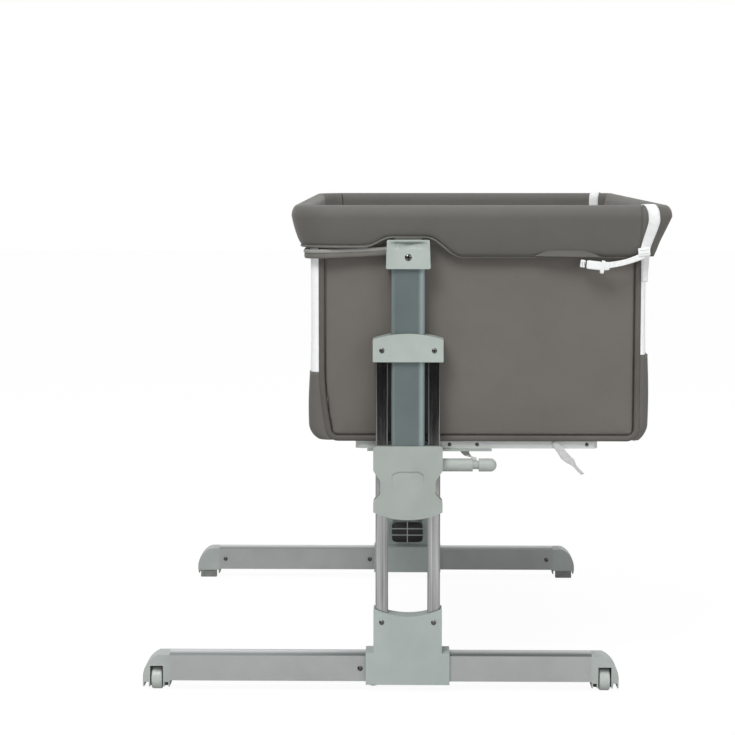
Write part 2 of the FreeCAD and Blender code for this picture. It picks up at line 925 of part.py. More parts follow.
def release_plate_part():
    """A plate whose slanted slots draw both pegs inward when its foot is pushed up."""
    front = column_y - peg_length + 1
    back = front + release_plate
    half = release_width / 2
    outline = rectangle(column_x - half, column_x + half, release_low, lock_height + 9, 2.0)
    plate = plate_xz(outline, front, back)
    peg_x = pin_places()[1] - pin_length + peg_inset
    run = Vector(-pin_travel, 0, -release_travel)
    across = Vector(-run.z, 0, run.x).normalize() * (peg_diameter / 2 + slide_gap)
    start = Vector(peg_x, front - 1, lock_height)
    end = start + run
    corners = [start + across, end + across, end - across, start - across]
    slot = Part.Face(Part.makePolygon(corners + [corners[0]])).extrude(Vector(0, release_plate + 2, 0))
    ends = [rod_y(peg_diameter + 2 * slide_gap, p.x, front - 1, back + 1, p.z) for p in (start, end)]
    slot = joined([slot] + ends)
    plate = plate.cut(slot).cut(across_x(slot, column_x))
    foot = box(
        column_x - half,
        column_x + half,
        back - 1,
        column_y + tube_depth / 2 - 3,
        release_low,
        release_low + release_pad,
    )
    return joined([plate, foot])


def strap_post():
    """A round post with a necked-in groove and a domed head, which takes a strap's loop."""
    x0 = column_x + housing_width / 2 - post_seat + seat_gap
    end = x0 + post_seat + post_reach
    neck = x0 + post_seat + post_neck_start
    shank = rod_x(post_diameter, x0, end - post_dome, post_y(), post_height)
    groove = rod_x(2 * post_diameter, neck, neck + post_neck_length, post_y(), post_height)
    groove = groove.cut(rod_x(post_neck, neck, neck + post_neck_length, post_y(), post_height))
    radius = arc_radius(post_diameter / 2, post_dome)
    ball = Part.makeSphere(radius, Vector(end - radius, post_y(), post_height))
    head = ball.common(rod_x(post_diameter, end - post_dome, end, post_y(), post_height))
    return joined([shank.cut(groove), head])


# ---- lower frame ---------------------------------------------------------------------------------
def lower_frame():
    x = column_x + lower_frame_shift
    left = x - lower_frame_width / 2
    right = x + lower_frame_width / 2
    top = basket_bottom - soft_gap
    low = top - lower_bar_height
    bars = []
    for y0 in (-lower_frame_end, lower_frame_end - lower_bar_depth):
        outline = rectangle(left, right, y0, y0 + lower_bar_depth, lower_bar_round)
        bar = plate_xy(outline, low, top)
        for x in rivet_places():
            hole = rivet_shank + 2 * running_fit
            bar = bar.cut(rod_y(hole, x, y0 - 1, y0 + lower_bar_depth + 1, (low + top) / 2))
        bars.append(bar)
    inner = lower_frame_end - lower_bar_depth
    for x0 in (left + lower_bar_round, right - lower_bar_round - lower_bar_depth):
        bar = box(x0, x0 + lower_bar_depth, -inner, inner, low, top)
        wall = lower_bar_wall
        hollow = box(x0 + wall, x0 + lower_bar_depth - wall, -inner, inner, low + wall, top - wall)
        bars.append(bar.cut(hollow))
    return bars


def rivet_places():
    right = column_x + lower_frame_shift + lower_frame_width / 2
    return column_x + rivet_first, column_x + rivet_second, right - rivet_inset


def lower_frame_rivets():
    """Rivets through the near cross bar's face, two over the lug and one by its bed-side end."""
    face = -lower_frame_end
    z = basket_bottom - soft_gap - lower_bar_height / 2
    rivets = []
    for x in rivet_places():
        head = domed_head(x, face, z, rivet_head, rivet_rise)
        rivets.append(joined([head, rod_y(rivet_shank, x, face - rivet_rise * 0.3, face + rivet_length, z)]))
    return rivets


# ---- rim -----------------------------------------------------------------------------------------
def carried_round(section, left, right, bend):
    """A section at X = right carried along a U in plan: near leg, rounded side at X = left, far leg."""
    face = section.copy()
    turn = math.copysign(bend, right - left)
    run = Vector(left + turn - right, 0, 0)
    leg = face.extrude(run)
    face.translate(run)
    centre = Vector(left + turn, rim_y + bend, 0)
    upward = Vector(0, 0, 1)
    angle = math.copysign(90, -turn)
    corner = face.revolve(centre, upward, angle)
    face.rotate(centre, upward, angle)
    side = face.extrude(Vector(0, -centre.y, 0))
    half = joined([leg, corner, side])
    return joined([half, to_far_end(half)])


def bent_tube(left, right, bend):
    centre = Vector(right, rim_y, rim_tube_height)
    along = Vector(1, 0, 0)
    outer = Part.Face(Part.Wire(Part.makeCircle(rim_tube / 2, centre, along)))
    inner = Part.Face(Part.Wire(Part.makeCircle(rim_tube / 2 - rim_tube_wall, centre, along)))
    return carried_round(outer.cut(inner).Faces[0], left, right, bend)


def rim_frame():
    return bent_tube(rim_left, split_x, rim_bend_radius)


def drop_rail():
    return bent_tube(rim_right, split_x + split_gap, cover_corner - rim_overhang)


def rim_plugs():
    """Plugs in the fixed tube's ends, whose noses stand in the drop rail's ends when it is up."""
    inner = rim_tube - 2 * rim_tube_wall - 2 * seat_gap
    shank = rod_x(inner, split_x - plug_length, split_x, rim_y, rim_tube_height)
    nose = rod_x(nose_diameter, split_x - 1, split_x + nose_length, rim_y, rim_tube_height)
    plug = joined([shank, nose])
    return [plug, to_far_end(plug)]


def rim_section():
    """The padded cover's section, as (outward, up) points about the rim tube's centre."""
    crest = rim_top - rim_tube_height
    widest = rim_widest - rim_tube_height
    hem = side_hem_height - rim_tube_height
    inner_hem = inner_hem_height - rim_tube_height
    out = rim_overhang
    room = rim_tube / 2 + cover_room
    wall = skirt_wall
    crown = [(out - inset, crest - drop) for inset, drop in rim_crown]
    hollow = [(room - inset, room - drop) for inset, drop in rim_hollow_crown]
    outside = [(out - hem_tuck, hem), (out, widest)] + crown
    lining = [(room, widest), (out - hem_tuck - wall, hem)]
    inside = [(-out, widest), (-out - inner_hem_tuck, inner_hem), (-out - inner_hem_tuck + wall, inner_hem)]
    points = outside + [(-u, v) for u, v in reversed(crown)] + inside
    points = points + [(-room, widest)] + [(-u, v) for u, v in hollow]
    return points + list(reversed(hollow)) + lining


def cover_band():
    """The cover along the fixed rim: near end, left side and far end, before its hems are cut."""
    corners = [Vector(split_x, rim_y - u, rim_tube_height + v) for u, v in rim_section()]
    section = Part.Face(Part.makePolygon(corners + [corners[0]]))
    return carried_round(section, rim_left, split_x, rim_bend_radius)


def rim_cover():
    band = cover_band()
    reach = -rim_y + rim_overhang
    start = rim_left + rim_bend_radius
    band = band.cut(box(rim_left - rim_bend_radius, start, -reach - 1, reach + 1, 0, left_hem_height))
    cutter = hem_cutter(start)
    band = band.cut(cutter)
    band = band.cut(to_far_end(cutter))
    half = top_bracket_width / 2 + 2
    back = -end_y
    notch = box(column_x - half, column_x + half, -cutter_reach(), -back, 0, top_bracket_top() + 1)
    band = band.cut(notch)
    band = band.cut(to_far_end(notch))
    return band.removeSplitter()


def cutter_reach():
    """How far from the middle the hem cutters reach in: between the outer and the inner skirt."""
    return -rim_y + rim_overhang - hem_tuck - skirt_wall - 1


def hem_cutter(start):
    """What lies below the hem line of an end: low at the right, arched over the top bracket."""
    high = arch_top
    right = side_hem_height
    left = left_hem_height
    centre = column_x
    points = [
        (start - 1, 0),
        (start - 1, left),
        (centre - arch_half - arch_slope, left),
        (centre - arch_half, high),
        (centre + arch_half - 5, high),
        (centre + arch_half + arch_slope + 10, right),
        (centre + arch_half + arch_slope + 10, 0),
    ]
    outside = rim_length
    corners = [Vector(x, -outside, z) for x, z in points]
    face = Part.Face(Part.makePolygon(corners + [corners[0]]))
    return face.extrude(Vector(0, outside - cutter_reach(), 0))


def lid(points_sides, points_ends, radius):
    """What lies inside the bed side's profile and both ends' profiles, with rounded plan corners."""
    back = split_x - rim_width / 2
    sides = [Vector(x, -rim_length, z) for x, z in points_sides]
    low = points_sides[0][1]
    sides = sides + [Vector(back, -rim_length, sides[-1].z), Vector(back, -rim_length, low)]
    along = Part.Face(Part.makePolygon(sides + [sides[0]])).extrude(Vector(0, beyond, 0))
    near = [Vector(back, y, z) for y, z in points_ends]
    far = [Vector(back, -y, z) for y, z in reversed(points_ends)]
    across = Part.Face(Part.makePolygon(near + far + [near[0]])).extrude(Vector(rim_width, 0, 0))
    edge = max(x for x, z in points_sides)
    reach = -min(y for y, z in points_ends)
    plan = plate_xy(rectangle(back, edge, -reach, reach, radius), 0, beyond)
    return along.common(across).common(plan)


def drop_cover():
    """The padded cover of the drop rail and its corners, drawn in under the rail to meet the mesh."""
    edge = rim_x + rim_width / 2
    end = -rim_length / 2
    crest = rim_top
    widest = rim_widest
    low = side_hem_height
    crown = [(edge - inset, crest - drop) for inset, drop in rim_crown]
    end_crown = [(end + inset, crest - drop) for inset, drop in rim_crown]
    outer = lid(
        [(edge - side_hem_tuck, low), (edge, widest)] + crown,
        [(end + hem_tuck, low), (end, widest)] + end_crown,
        cover_corner,
    )
    wall = skirt_wall
    thin = rim_overhang - rim_tube / 2 - cover_room
    ceiling = rim_tube_height + rim_tube / 2 + cover_room
    hollow = [(edge - thin - inset, ceiling - drop) for inset, drop in rim_hollow_crown]
    end_hollow = [(end + thin + inset, ceiling - drop) for inset, drop in rim_hollow_crown]
    inner = lid(
        [(edge - side_hem_tuck - wall, low - 1), (edge - thin, widest)] + hollow,
        [(end + hem_tuck + wall, low - 1), (end + thin, widest)] + end_hollow,
        cover_corner - thin,
    )
    band = 2 * rim_overhang
    turn = cover_corner - band
    crown_rings = [(-inset, crest - drop) for inset, drop in rim_crown]
    hollow_rings = [(-inset, ceiling - drop) for inset, drop in rim_hollow_crown]
    well = inner_skirt_well(edge - band, -end - band, turn, crown_rings)
    lining = inner_skirt_well(edge - band + thin, -end - band + thin, turn + thin, hollow_rings)
    shell = outer.cut(inner.cut(lining)).cut(well)
    gap = split_x + split_gap
    reach = -end - band
    for sign in (-1, 1):
        low_y, high_y = sorted((sign * (reach - inner_hem_tuck - 2), sign * rim_length))
        shell = shell.cut(box(split_x - rim_width, gap, low_y, high_y, 0, beyond))
    trim = box(split_x - rim_width, edge - band + thin, -reach - 1, reach + 1, 0, inner_hem_height)
    return shell.cut(trim)


def inner_skirt_well(x, y, radius, crown):
    """The room inside the inner skirts: straight down from the top, then drawn in to the hem."""
    shift = inner_hem_tuck
    back = split_x - rim_width / 2 - rim_overhang
    rings = []
    for inset, z in [(shift, inner_hem_height), (0, rim_widest)] + crown:
        turn = radius - inset
        corners = [
            (back, inset - y, 0),
            (x - inset, inset - y, turn),
            (x - inset, y - inset, turn),
            (back, y - inset, 0),
        ]
        rings.append(rounded_wire(corners, level(z)))
    slopes = Part.makeLoft(rings, True, True)
    below = Part.Face(rings[0]).extrude(Vector(0, 0, side_hem_height - 5 - inner_hem_height))
    above = Part.Face(rings[-1]).extrude(Vector(0, 0, 1))
    return joined([slopes, below, above])


# ---- basket --------------------------------------------------------------------------------------
def panel_edges():
    return side_left + panel_inset_left, side_right - panel_inset_right


def end_panel():
    """A padded end wall: a flat board inside, with a shallow crown outside between bevelled edges."""
    left, right = panel_edges()
    back = end_y + panel_wall + panel_crown
    face = end_y + panel_crown
    low = basket_bottom
    base = rounded_wire(rectangle(left, right, low, panel_top, panel_corner), upright(face))
    inset = panel_bevel
    outline = rectangle(left + inset, right - inset, low + inset, panel_top - inset, panel_corner)
    crown = rounded_wire(outline, upright(end_y))
    slab = Part.Face(base).extrude(Vector(0, back - face, 0))
    pillow = Part.makeLoft([base, crown], True, True)
    return joined([slab, pillow])


def wrap_outline(wall, outer, facing, seam):
    """The plan of a side wall whose ends turn the corner as far as the seam beside an end panel."""
    reach = -end_y
    inner = outer + facing * wall
    turn = min(wrap_round, abs(outer - seam) - 0.5)
    lip = end_y + panel_crown
    return [
        (seam, lip, 0),
        (outer, lip, turn),
        (outer, -lip, turn),
        (seam, -lip, 0),
        (seam, -lip - wall, 0),
        (inner, -lip - wall, max(turn - wall, 1.0)),
        (inner, lip + wall, max(turn - wall, 1.0)),
        (seam, lip + wall, 0),
    ]


def wrapped_wall(wall, outer, facing, seam, z0, z1):
    return plate_xy(wrap_outline(wall, outer, facing, seam), z0, z1)


def side_seam(facing):
    left, right = panel_edges()
    return left - seam_gap if facing > 0 else right + seam_gap


def low_side(outer, facing, top):
    """The padded lower part of a long side, with its bottom edge rounded inwards."""
    wall = wrapped_wall(side_wall, outer, facing, side_seam(facing), basket_bottom, top)
    edge = outer + facing * side_corner
    reach = rim_length
    corner = box(min(outer, edge), max(outer, edge), -reach, reach, basket_bottom, basket_bottom + side_corner)
    corner = corner.cut(rod_y(2 * side_corner, edge, -beyond, beyond, basket_bottom + side_corner))
    return wall.cut(corner)


def left_side():
    return low_side(side_left, 1, left_mesh_low)


def right_side():
    return low_side(side_right, -1, barrier_height - barrier_tube / 2 - soft_gap)


def left_mesh():
    top = inner_hem_height - soft_gap
    low = left_mesh_low + soft_gap
    inset = side_left + mesh_inset
    return wrapped_wall(mesh_wall, inset, 1, side_seam(1), low, top)


def drop_mesh():
    """The bed-side mesh, which hangs from the drop cover's hem, and the short turns at its ends."""
    low = barrier_height + barrier_tube / 2 + 2 * soft_gap
    top = inner_hem_height + mesh_lap
    return wrapped_wall(mesh_wall, side_right - drop_mesh_inset, -1, side_seam(-1), low, top)


def barrier():
    """The tube that holds the bed side's lower edge, between the two end panels."""
    reach = -end_y - panel_wall - panel_crown - soft_gap
    x = side_right - side_wall - barrier_tube / 2 + side_wall / 2
    bar = rod_y(barrier_tube, x, -reach, reach, barrier_height)
    return bar.cut(rod_y(barrier_tube - 2 * rim_tube_wall, x, -reach, reach, barrier_height))


def base_cloth():
    margin = side_corner + 1
    reach = -end_y - panel_wall - panel_crown - soft_gap
    return box(side_left + margin, side_right - margin, -reach, reach, basket_bottom, basket_bottom + cloth_wall)


def base_board():
    low = basket_bottom + cloth_wall
    margin = side_wall + soft_gap
    reach = -end_y - panel_wall - panel_crown - soft_gap
    outline = rectangle(side_left + margin, side_right - margin, -reach, reach, 12.0)
    board = plate_xy(outline, low, low + board_wall)
    corner = side_corner
    for x, facing in ((side_left, 1), (side_right, -1)):
        edge = x + facing * corner
        tool = box(min(x, edge), max(x, edge), -rim_length, rim_length, basket_bottom, basket_bottom + corner)
        tool = tool.cut(rod_y(2 * (corner - side_wall), edge, -beyond, beyond, basket_bottom + corner))
        board = board.cut(tool)
    return board


def mattress():
    """A crowned pad with drawn-in sides: lofted rings from its base to the top of its crown."""
    left = side_left + side_wall + mattress_gap
    right = side_right - side_wall - mattress_gap
    reach = -end_y - panel_wall - panel_crown - mattress_gap
    low = basket_bottom + cloth_wall + board_wall + soft_gap
    draw = mattress_edge_draw
    rise = mattress_height
    levels = [
        (draw, 0.0),
        (0.0, 0.16 * rise),
        (draw * 0.8, 0.5 * rise),
        (0.0, 0.84 * rise),
        (draw, rise),
    ]
    rings = []
    for inset, z in levels:
        outline = rectangle(left + inset, right - inset, -reach + inset, reach - inset, mattress_corner - inset)
        rings.append(rounded_wire(outline, level(low + z)))
    side = Part.makeLoft(rings, True, True)
    shallow = 70.0
    outline = rectangle(
        left + shallow,
        right - shallow,
        -reach + shallow,
        reach - shallow,
        mattress_corner,
    )
    crest = rounded_wire(outline, level(low + rise + mattress_crown))
    crown = Part.makeLoft([rings[-1], crest], True, True)
    return joined([side, crown])


# ---- straps --------------------------------------------------------------------------------------
def over_rim_strap():
    """Webbing from inside the basket, over the near rim's cover and down to its hem."""
    gap = soft_gap + strap_wall / 2
    inside = rim_y + rim_overhang + gap
    outside = rim_y - rim_overhang - gap
    top = rim_top + gap
    route = [
        (-12.2, inside + 3.6, rim_widest - 22),
        (-11.8, inside + 0.6, rim_widest),
        (-11.8, inside - 0.4, rim_widest + 8),
        (-11.6, inside - 4.6, top - 1.6),
        (-6.5, inside - 9.5, top),
        (-1.0, outside + 9.5, top),
        (0.0, outside + 4.6, top - 1.6),
        (1.0, outside + 0.4, rim_widest + 7),
        (0.0, outside - 0.3, rim_widest - 3),
        (-6.0, outside + 5.6, rim_widest - 21),
        (-11.0, outside + 10.2, rim_widest - 36),
        (-15.0, outside + 15.4, side_hem_height + 6),
    ]
    start = column_x + strap_top_shift
    centres = [Vector(start + shift, y, z) for shift, y, z in route]
    return ribbon(centres, [Vector(strap_width / 2, 0, 0)] * len(centres), strap_wall)


def junction():
    return Vector(column_x + strap_bottom_shift, rim_y - rim_overhang + junction_setback, side_hem_height)


def buckle_centre():
    y = rim_y - rim_overhang + buckle_setback
    return Vector(column_x + buckle_shift, y, rim_tube_height - buckle_drop)


def buckle_strap():
    """Webbing from the junction at the corner to the buckle below the hem."""
    start = junction() + Vector(1.5, 0, -0.5)
    end = buckle_centre() + Vector(24.0, 0, 0.5)
    middle = start + (end - start) * 0.5 + Vector(0, -0.4, -1.0)
    half = Vector(0, 0, thin_strap / 2)
    return ribbon([start, middle, end], [half] * 3, strap_wall)


def strap_adjuster():
    """A flat ladder slide where the two runs of webbing meet."""
    centre = junction()
    half = adjuster_size / 2
    back = centre.y - strap_wall - 2 * soft_gap
    outline = rectangle(centre.x - half, centre.x + half - 2, centre.z + 1, centre.z + 13, 2.0)
    return plate_xz(outline, back - 2.4, back)


def buckle_plug():
    centre = buckle_centre()
    front = centre.y - buckle_wall / 2
    half = buckle_width / 2
    head = [
        (centre.x + 4.3, centre.z - half + 2, 2.0),
        (centre.x + 23.0, centre.z - half + 4, 2.0),
        (centre.x + 23.0, centre.z + half - 4, 2.0),
        (centre.x + 4.3, centre.z + half - 2, 2.0),
    ]
    return plate_xz(head, front + 1, front + buckle_wall - 1)


def buckle_socket():
    centre = buckle_centre()
    front = centre.y - buckle_wall / 2
    half = buckle_width / 2
    shell = [
        (centre.x - 22.0, centre.z - half + 5, 2.0),
        (centre.x - 17.0, centre.z - half + 1, 2.5),
        (centre.x + 4.0, centre.z - half + 1, 1.5),
        (centre.x + 4.0, centre.z + half - 1, 1.5),
        (centre.x - 17.0, centre.z + half - 1, 2.5),
        (centre.x - 22.0, centre.z + half - 5, 2.0),
    ]
    return plate_xz(shell, front, front + buckle_wall)


def buckle_flap():
    """A cloth tab from under the cover's hem that carries the buckle's socket."""
    centre = buckle_centre()
    y = centre.y + buckle_wall / 2 + 0.3
    outline = [
        (centre.x - 84.0, side_hem_height + 9, 2.0),
        (centre.x + 14.0, side_hem_height + 9, 2.0),
        (centre.x + 5.0, centre.z - 4, 3.0),
        (centre.x - 20.0, centre.z - 4, 3.0),
    ]
    return plate_xz(outline, y, y + 1.6)


def post_strap():
    """A short webbing loop from the lower frame to the groove of the strap post."""
    top = basket_bottom - soft_gap - lower_bar_height
    neck = column_x + housing_width / 2 + post_neck_start + post_neck_length / 2
    y = post_y() + 9.5
    centres = [
        Vector(neck - 9, y + 8.0, top - 4.2),
        Vector(neck - 8, y + 6.5, top - 9),
        Vector(neck - 4, y + 3.5, top - 15),
        Vector(neck - 0.5, y + 0.6, post_height + 2),
        Vector(neck, y - 0.6, post_height - 7),
    ]
    half = Vector(3.6, 0, 0)
    return ribbon(centres, [half] * len(centres), strap_wall)


def hanging_strap():
    """The loose end of a fastening strap, which hangs from the lower frame's cross bar."""
    top = basket_bottom - soft_gap - lower_bar_height
    y = -lower_frame_end + 12.0
    x = column_x
    centres = [
        Vector(x + 226, y, top - 3.6),
        Vector(x + 231, y - 1.0, top - 7.5),
        Vector(x + 239, y - 2.5, top - 16),
        Vector(x + 245, y - 3.0, top - 22),
        Vector(x + 257, y - 2.5, top - 33),
        Vector(x + 263, y - 2.0, top - 38),
    ]
    widths = [7.5, 7.5, 7.0, 4.0, 2.6, 2.6]
    halves = [Vector(width, 0, width * 0.35) for width in widths]
    return ribbon(centres, halves, strap_wall)


# ---- the nodes -----------------------------------------------------------------------------------
def save(name, solids):
    shape = solids[0] if len(solids) == 1 else Part.makeCompound(solids)
    shape.exportStep(os.path.join("parts", name + ".step"))


def both_ends(shape):
    return [("near", shape), ("far", to_far_end(shape))]


def all_ends(solids):
    return solids + [to_far_end(solid) for solid in solids]


def save_ends(name, shape):
    save("near_" + name, [shape])
    save("far_" + name, [to_far_end(shape)])


def save_feet():
    cap = left_end_cap()
    caps = [cap, across_x(cap, foot_x)]
    save_ends("foot_beam", foot_beam())
    save("near_end_caps", caps)
    save("far_end_caps", [to_far_end(shape) for shape in caps])
    for side, x in zip(("left", "right"), wheel_places()):
        save_ends(side + "_wheel", wheel(x))
    save("wheel_axles", all_ends([axle(x) for x in wheel_places()]))
    save("floor_pads", all_ends([floor_pad(True), floor_pad(False)]))
    save("foot_screws", all_ends(foot_screws()))


def save_carriage():
    rails = [rail(x) for x in rail_places()]
    save_ends("base_bracket", base_bracket())
    save("near_rails", rails)
    save("far_rails", [to_far_end(shape) for shape in rails])
    save_ends("collar", collar())
    save_ends("slide_lock", slide_lock())
    save("slide_liners", all_ends(slide_liners()))
    save("column_screws", all_ends(bracket_screws() + collar_screws()))


def save_lift():
    front, back = housing_shells()
    right_pin = lock_pin_right()
    save_ends("housing_front", front)
    save_ends("housing_back", back)
    save_ends("central_tube", central_tube())
    save_ends("top_bracket", top_bracket())
    save_ends("release_plate", release_plate_part())
    save_ends("right_lock_pin", right_pin)
    save_ends("left_lock_pin", across_x(right_pin, column_x))
    save("strap_posts", all_ends([strap_post()]))
    save("top_bracket_screws", all_ends([top_bracket_screw()]))


def save_basket():
    save("lower_frame", lower_frame())
    save("lower_frame_rivets", all_ends(lower_frame_rivets()))
    save("rim_frame", [rim_frame()])
    save("rim_plugs", rim_plugs())
    save("rim_cover", [rim_cover()])
    save_ends("end_panel", end_panel())
    save("left_side_panel", [left_side()])
    save("right_side_panel", [right_side()])
    save("left_mesh", [left_mesh()])
    save("barrier_tube", [barrier()])
    save("base_cloth", [base_cloth()])
    save("base_board", [base_board()])
    save("mattress", [mattress()])
    save("drop_rail", [drop_rail()])
    save("drop_cover", [drop_cover()])
    save("drop_mesh", [drop_mesh()])


def save_straps():
    save("rim_straps", all_ends([over_rim_strap(), buckle_strap()]))
    save("strap_adjusters", all_ends([strap_adjuster()]))
    save("buckle_plugs", all_ends([buckle_plug()]))
    save("buckle_sockets", all_ends([buckle_socket()]))
    save("buckle_flaps", all_ends([buckle_flap()]))
    save("under_straps", all_ends([post_strap(), hanging_strap()]))


os.makedirs("parts", exist_ok=True)
save_feet()
save_carriage()
save_lift()
save_basket()
save_straps()
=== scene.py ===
import math

import bmesh
import bpy
import numpy as np

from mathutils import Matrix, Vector


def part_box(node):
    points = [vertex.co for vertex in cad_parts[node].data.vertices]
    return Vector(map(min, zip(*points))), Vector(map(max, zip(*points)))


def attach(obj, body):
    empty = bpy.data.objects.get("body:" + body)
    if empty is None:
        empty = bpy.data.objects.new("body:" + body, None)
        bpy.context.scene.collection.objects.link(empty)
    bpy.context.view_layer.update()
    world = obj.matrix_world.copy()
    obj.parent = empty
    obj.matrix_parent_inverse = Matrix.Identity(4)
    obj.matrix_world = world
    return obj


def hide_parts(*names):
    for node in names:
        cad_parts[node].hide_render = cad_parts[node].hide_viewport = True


# The looks of the bedside sleeper crib, in metres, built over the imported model. X runs across the crib
# towards the parents' bed, Y along its length, Z up. The near end is at negative Y.
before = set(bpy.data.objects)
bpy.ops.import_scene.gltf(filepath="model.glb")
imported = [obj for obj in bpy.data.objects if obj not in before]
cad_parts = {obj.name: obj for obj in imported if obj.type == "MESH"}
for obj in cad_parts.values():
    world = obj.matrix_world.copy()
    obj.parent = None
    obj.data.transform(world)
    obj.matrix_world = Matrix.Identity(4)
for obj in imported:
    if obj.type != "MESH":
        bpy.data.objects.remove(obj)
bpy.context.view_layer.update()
mm = 0.001

# ---- the camera's place, worked out from the photograph's vanishing point and horizon ---------------
photo_width = 735
focal_pixels = 2200.4
camera_place = (1.07 * mm, -3671.0 * mm, 802.65 * mm)
camera_pitch = math.radians(5.656)
camera_yaw = math.radians(1.010)

# ---- places that the frame gives --------------------------------------------------------------------
cover_low, cover_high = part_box("rim_cover")
drop_low, drop_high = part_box("drop_cover")
panel_low, panel_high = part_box("near_end_panel")
left_low, left_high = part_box("left_side_panel")
right_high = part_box("right_side_panel")[1]
left_net_low, left_net_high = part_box("left_mesh")
drop_net_low, drop_net_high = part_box("drop_mesh")
pad_low, pad_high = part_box("mattress")
cloth_low, cloth_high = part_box("base_cloth")
beam_low, beam_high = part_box("near_foot_beam")
sleeve_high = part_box("near_base_bracket")[1]
rails_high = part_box("near_rails")[1]
tube_low, tube_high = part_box("near_central_tube")
bracket_low, bracket_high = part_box("near_top_bracket")
bar_low, bar_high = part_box("lower_frame")
post_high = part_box("strap_posts")[1]
socket_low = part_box("buckle_sockets")[0]
plug_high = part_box("buckle_plugs")[1]
slide_low, slide_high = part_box("strap_adjusters")

hinge_height = drop_net_low.z
column_x = (tube_low.x + tube_high.x) / 2
rail_outer = rails_high.x - column_x
split_x = cover_high.x
split_gap = drop_low.x - split_x
rim_end = cover_high.y
rim_top = cover_high.z
basket_low = left_low.z

# ---- sizes that the frame doesn't give, most of them read off the photograph ------------------------
rail_width = 14 * mm
rail_inner = rail_outer - rail_width
buckle_depth = 4.0 * mm
buckle_middle = (socket_low + plug_high) / 2
buckle_middle.y = socket_low.y + buckle_depth
slide_depth = 3.2 * mm
cover_seam_gap = 0.16 * mm
cloth_wall = 2.0 * mm

# the rim's cover: heights of the tube inside it, of its widest line and of its hems, how far its skirts
# lean in and its corners' radii in plan
rim_overhang = 10.5 * mm
rim_height = rim_top - 15 * mm
rim_widest = rim_height - 2 * mm
side_hem = rim_height - 60 * mm
left_hem = rim_height - 44 * mm
arch_hem = rim_height - 30 * mm
inner_hem = rim_height - 44 * mm
hem_tuck = 18 * mm
bed_hem_tuck = 31.5 * mm
inner_tuck = 7 * mm
left_inset = 3.0 * mm
left_turn = 58 * mm
bed_turn = 30 * mm
arch_start, arch_full = column_x - 66 * mm, column_x - 24 * mm
arch_leave, arch_end = column_x + 26 * mm, column_x + 80 * mm

# the end walls: their seams, and how the left seam leans in by the foot
seam_left = panel_low.x - 0.5 * mm
seam_right = panel_high.x + 0.5 * mm
left_seam_inset = 3.2 * mm
bed_seam_inset = 3.4 * mm
seam_lean = 13 * mm
lean_height = 105 * mm
wall_turn = 17 * mm

# the straps' places along the near end, from the columns' middle
rim_strap_x = column_x + 352 * mm
buckle_strap_x = column_x + 346 * mm
corner_strap_x = column_x + 347.5 * mm
tab_upper = column_x + np.array([203 * mm, 258 * mm])
tab_lower = column_x + np.array([184 * mm, 284 * mm])


# ---- surfaces ---------------------------------------------------------------------------------------
def mesh_object(name, points, faces, smooth=True):
    """A new piece from its points and faces, at the origin."""
    mesh = bpy.data.meshes.new(name)
    mesh.from_pydata(np.asarray(points).reshape(-1, 3), [], faces)
    mesh.polygons.foreach_set("use_smooth", np.full(len(mesh.polygons), smooth))
    mesh.update()
    piece = bpy.data.objects.new(name, mesh)
    bpy.context.scene.collection.objects.link(piece)
    return piece


def surface(name, points, round_rows=False, round_columns=False, ends=False, turned=False):
    """A skin over points (rows, columns, 3). Either way may close on itself, ends caps the first and
    last rows of a tube, and turned faces the other way. Its own UV map counts metres along each way."""
    rows, columns = points.shape[:2]
    index = np.arange(rows * columns).reshape(rows, columns)
    if round_rows:
        index = np.vstack([index, index[:1]])
    if round_columns:
        index = np.hstack([index, index[:, :1]])
    quads = np.stack([index[:-1, :-1], index[1:, :-1], index[1:, 1:], index[:-1, 1:]], -1)
    quads = quads.reshape(-1, 4)
    faces = (quads[:, ::-1] if turned else quads).tolist()
    if ends:
        faces.append(index[0, :columns].tolist())
        faces.append(index[-1, :columns][::-1].tolist())
    piece = mesh_object(name, points, faces)
    along = np.linalg.norm(np.diff(points, axis=0), axis=2).mean(1)
    across = np.linalg.norm(np.diff(points, axis=1), axis=2).mean(0)
    u = np.concatenate([[0], np.cumsum(along)])
    v = np.concatenate([[0], np.cumsum(across)])
    map_points = np.stack(np.meshgrid(u, v, indexing="ij"), -1).reshape(-1, 2)
    loops = np.zeros(len(piece.data.loops), dtype=np.int64)
    piece.data.loops.foreach_get("vertex_index", loops)
    layer = piece.data.uv_layers.new(name="UVMap")
    layer.data.foreach_set("uv", map_points[loops].ravel())
    return piece


def points_of(piece):
    """A piece's points as an array with one row each."""
    flat = np.zeros(len(piece.data.vertices) * 3)
    piece.data.vertices.foreach_get("co", flat)
    return flat.reshape(-1, 3)


def facing_out(piece):
    """Turns a closed piece's faces outwards."""
    shape = bmesh.new()
    shape.from_mesh(piece.data)
    bmesh.ops.recalc_face_normals(shape, faces=shape.faces)
    shape.to_mesh(piece.data)
    shape.free()
    return piece


def walled(piece, thickness, offset=-1.0):
    """Gives a skin its thickness: behind its face at offset -1, to both sides of it at 0."""
    wall = piece.modifiers.new("wall", "SOLIDIFY")
    wall.thickness = thickness
    wall.offset = offset
    return piece


def even_line(points, count):
    """The straight runs between points, sampled evenly by their length."""
    line = np.asarray(points, dtype=float)
    length = np.concatenate([[0], np.cumsum(np.linalg.norm(np.diff(line, axis=0), axis=1))])
    even = np.linspace(0, length[-1], count)
    return np.stack([np.interp(even, length, line[:, i]) for i in range(line.shape[1])], 1)


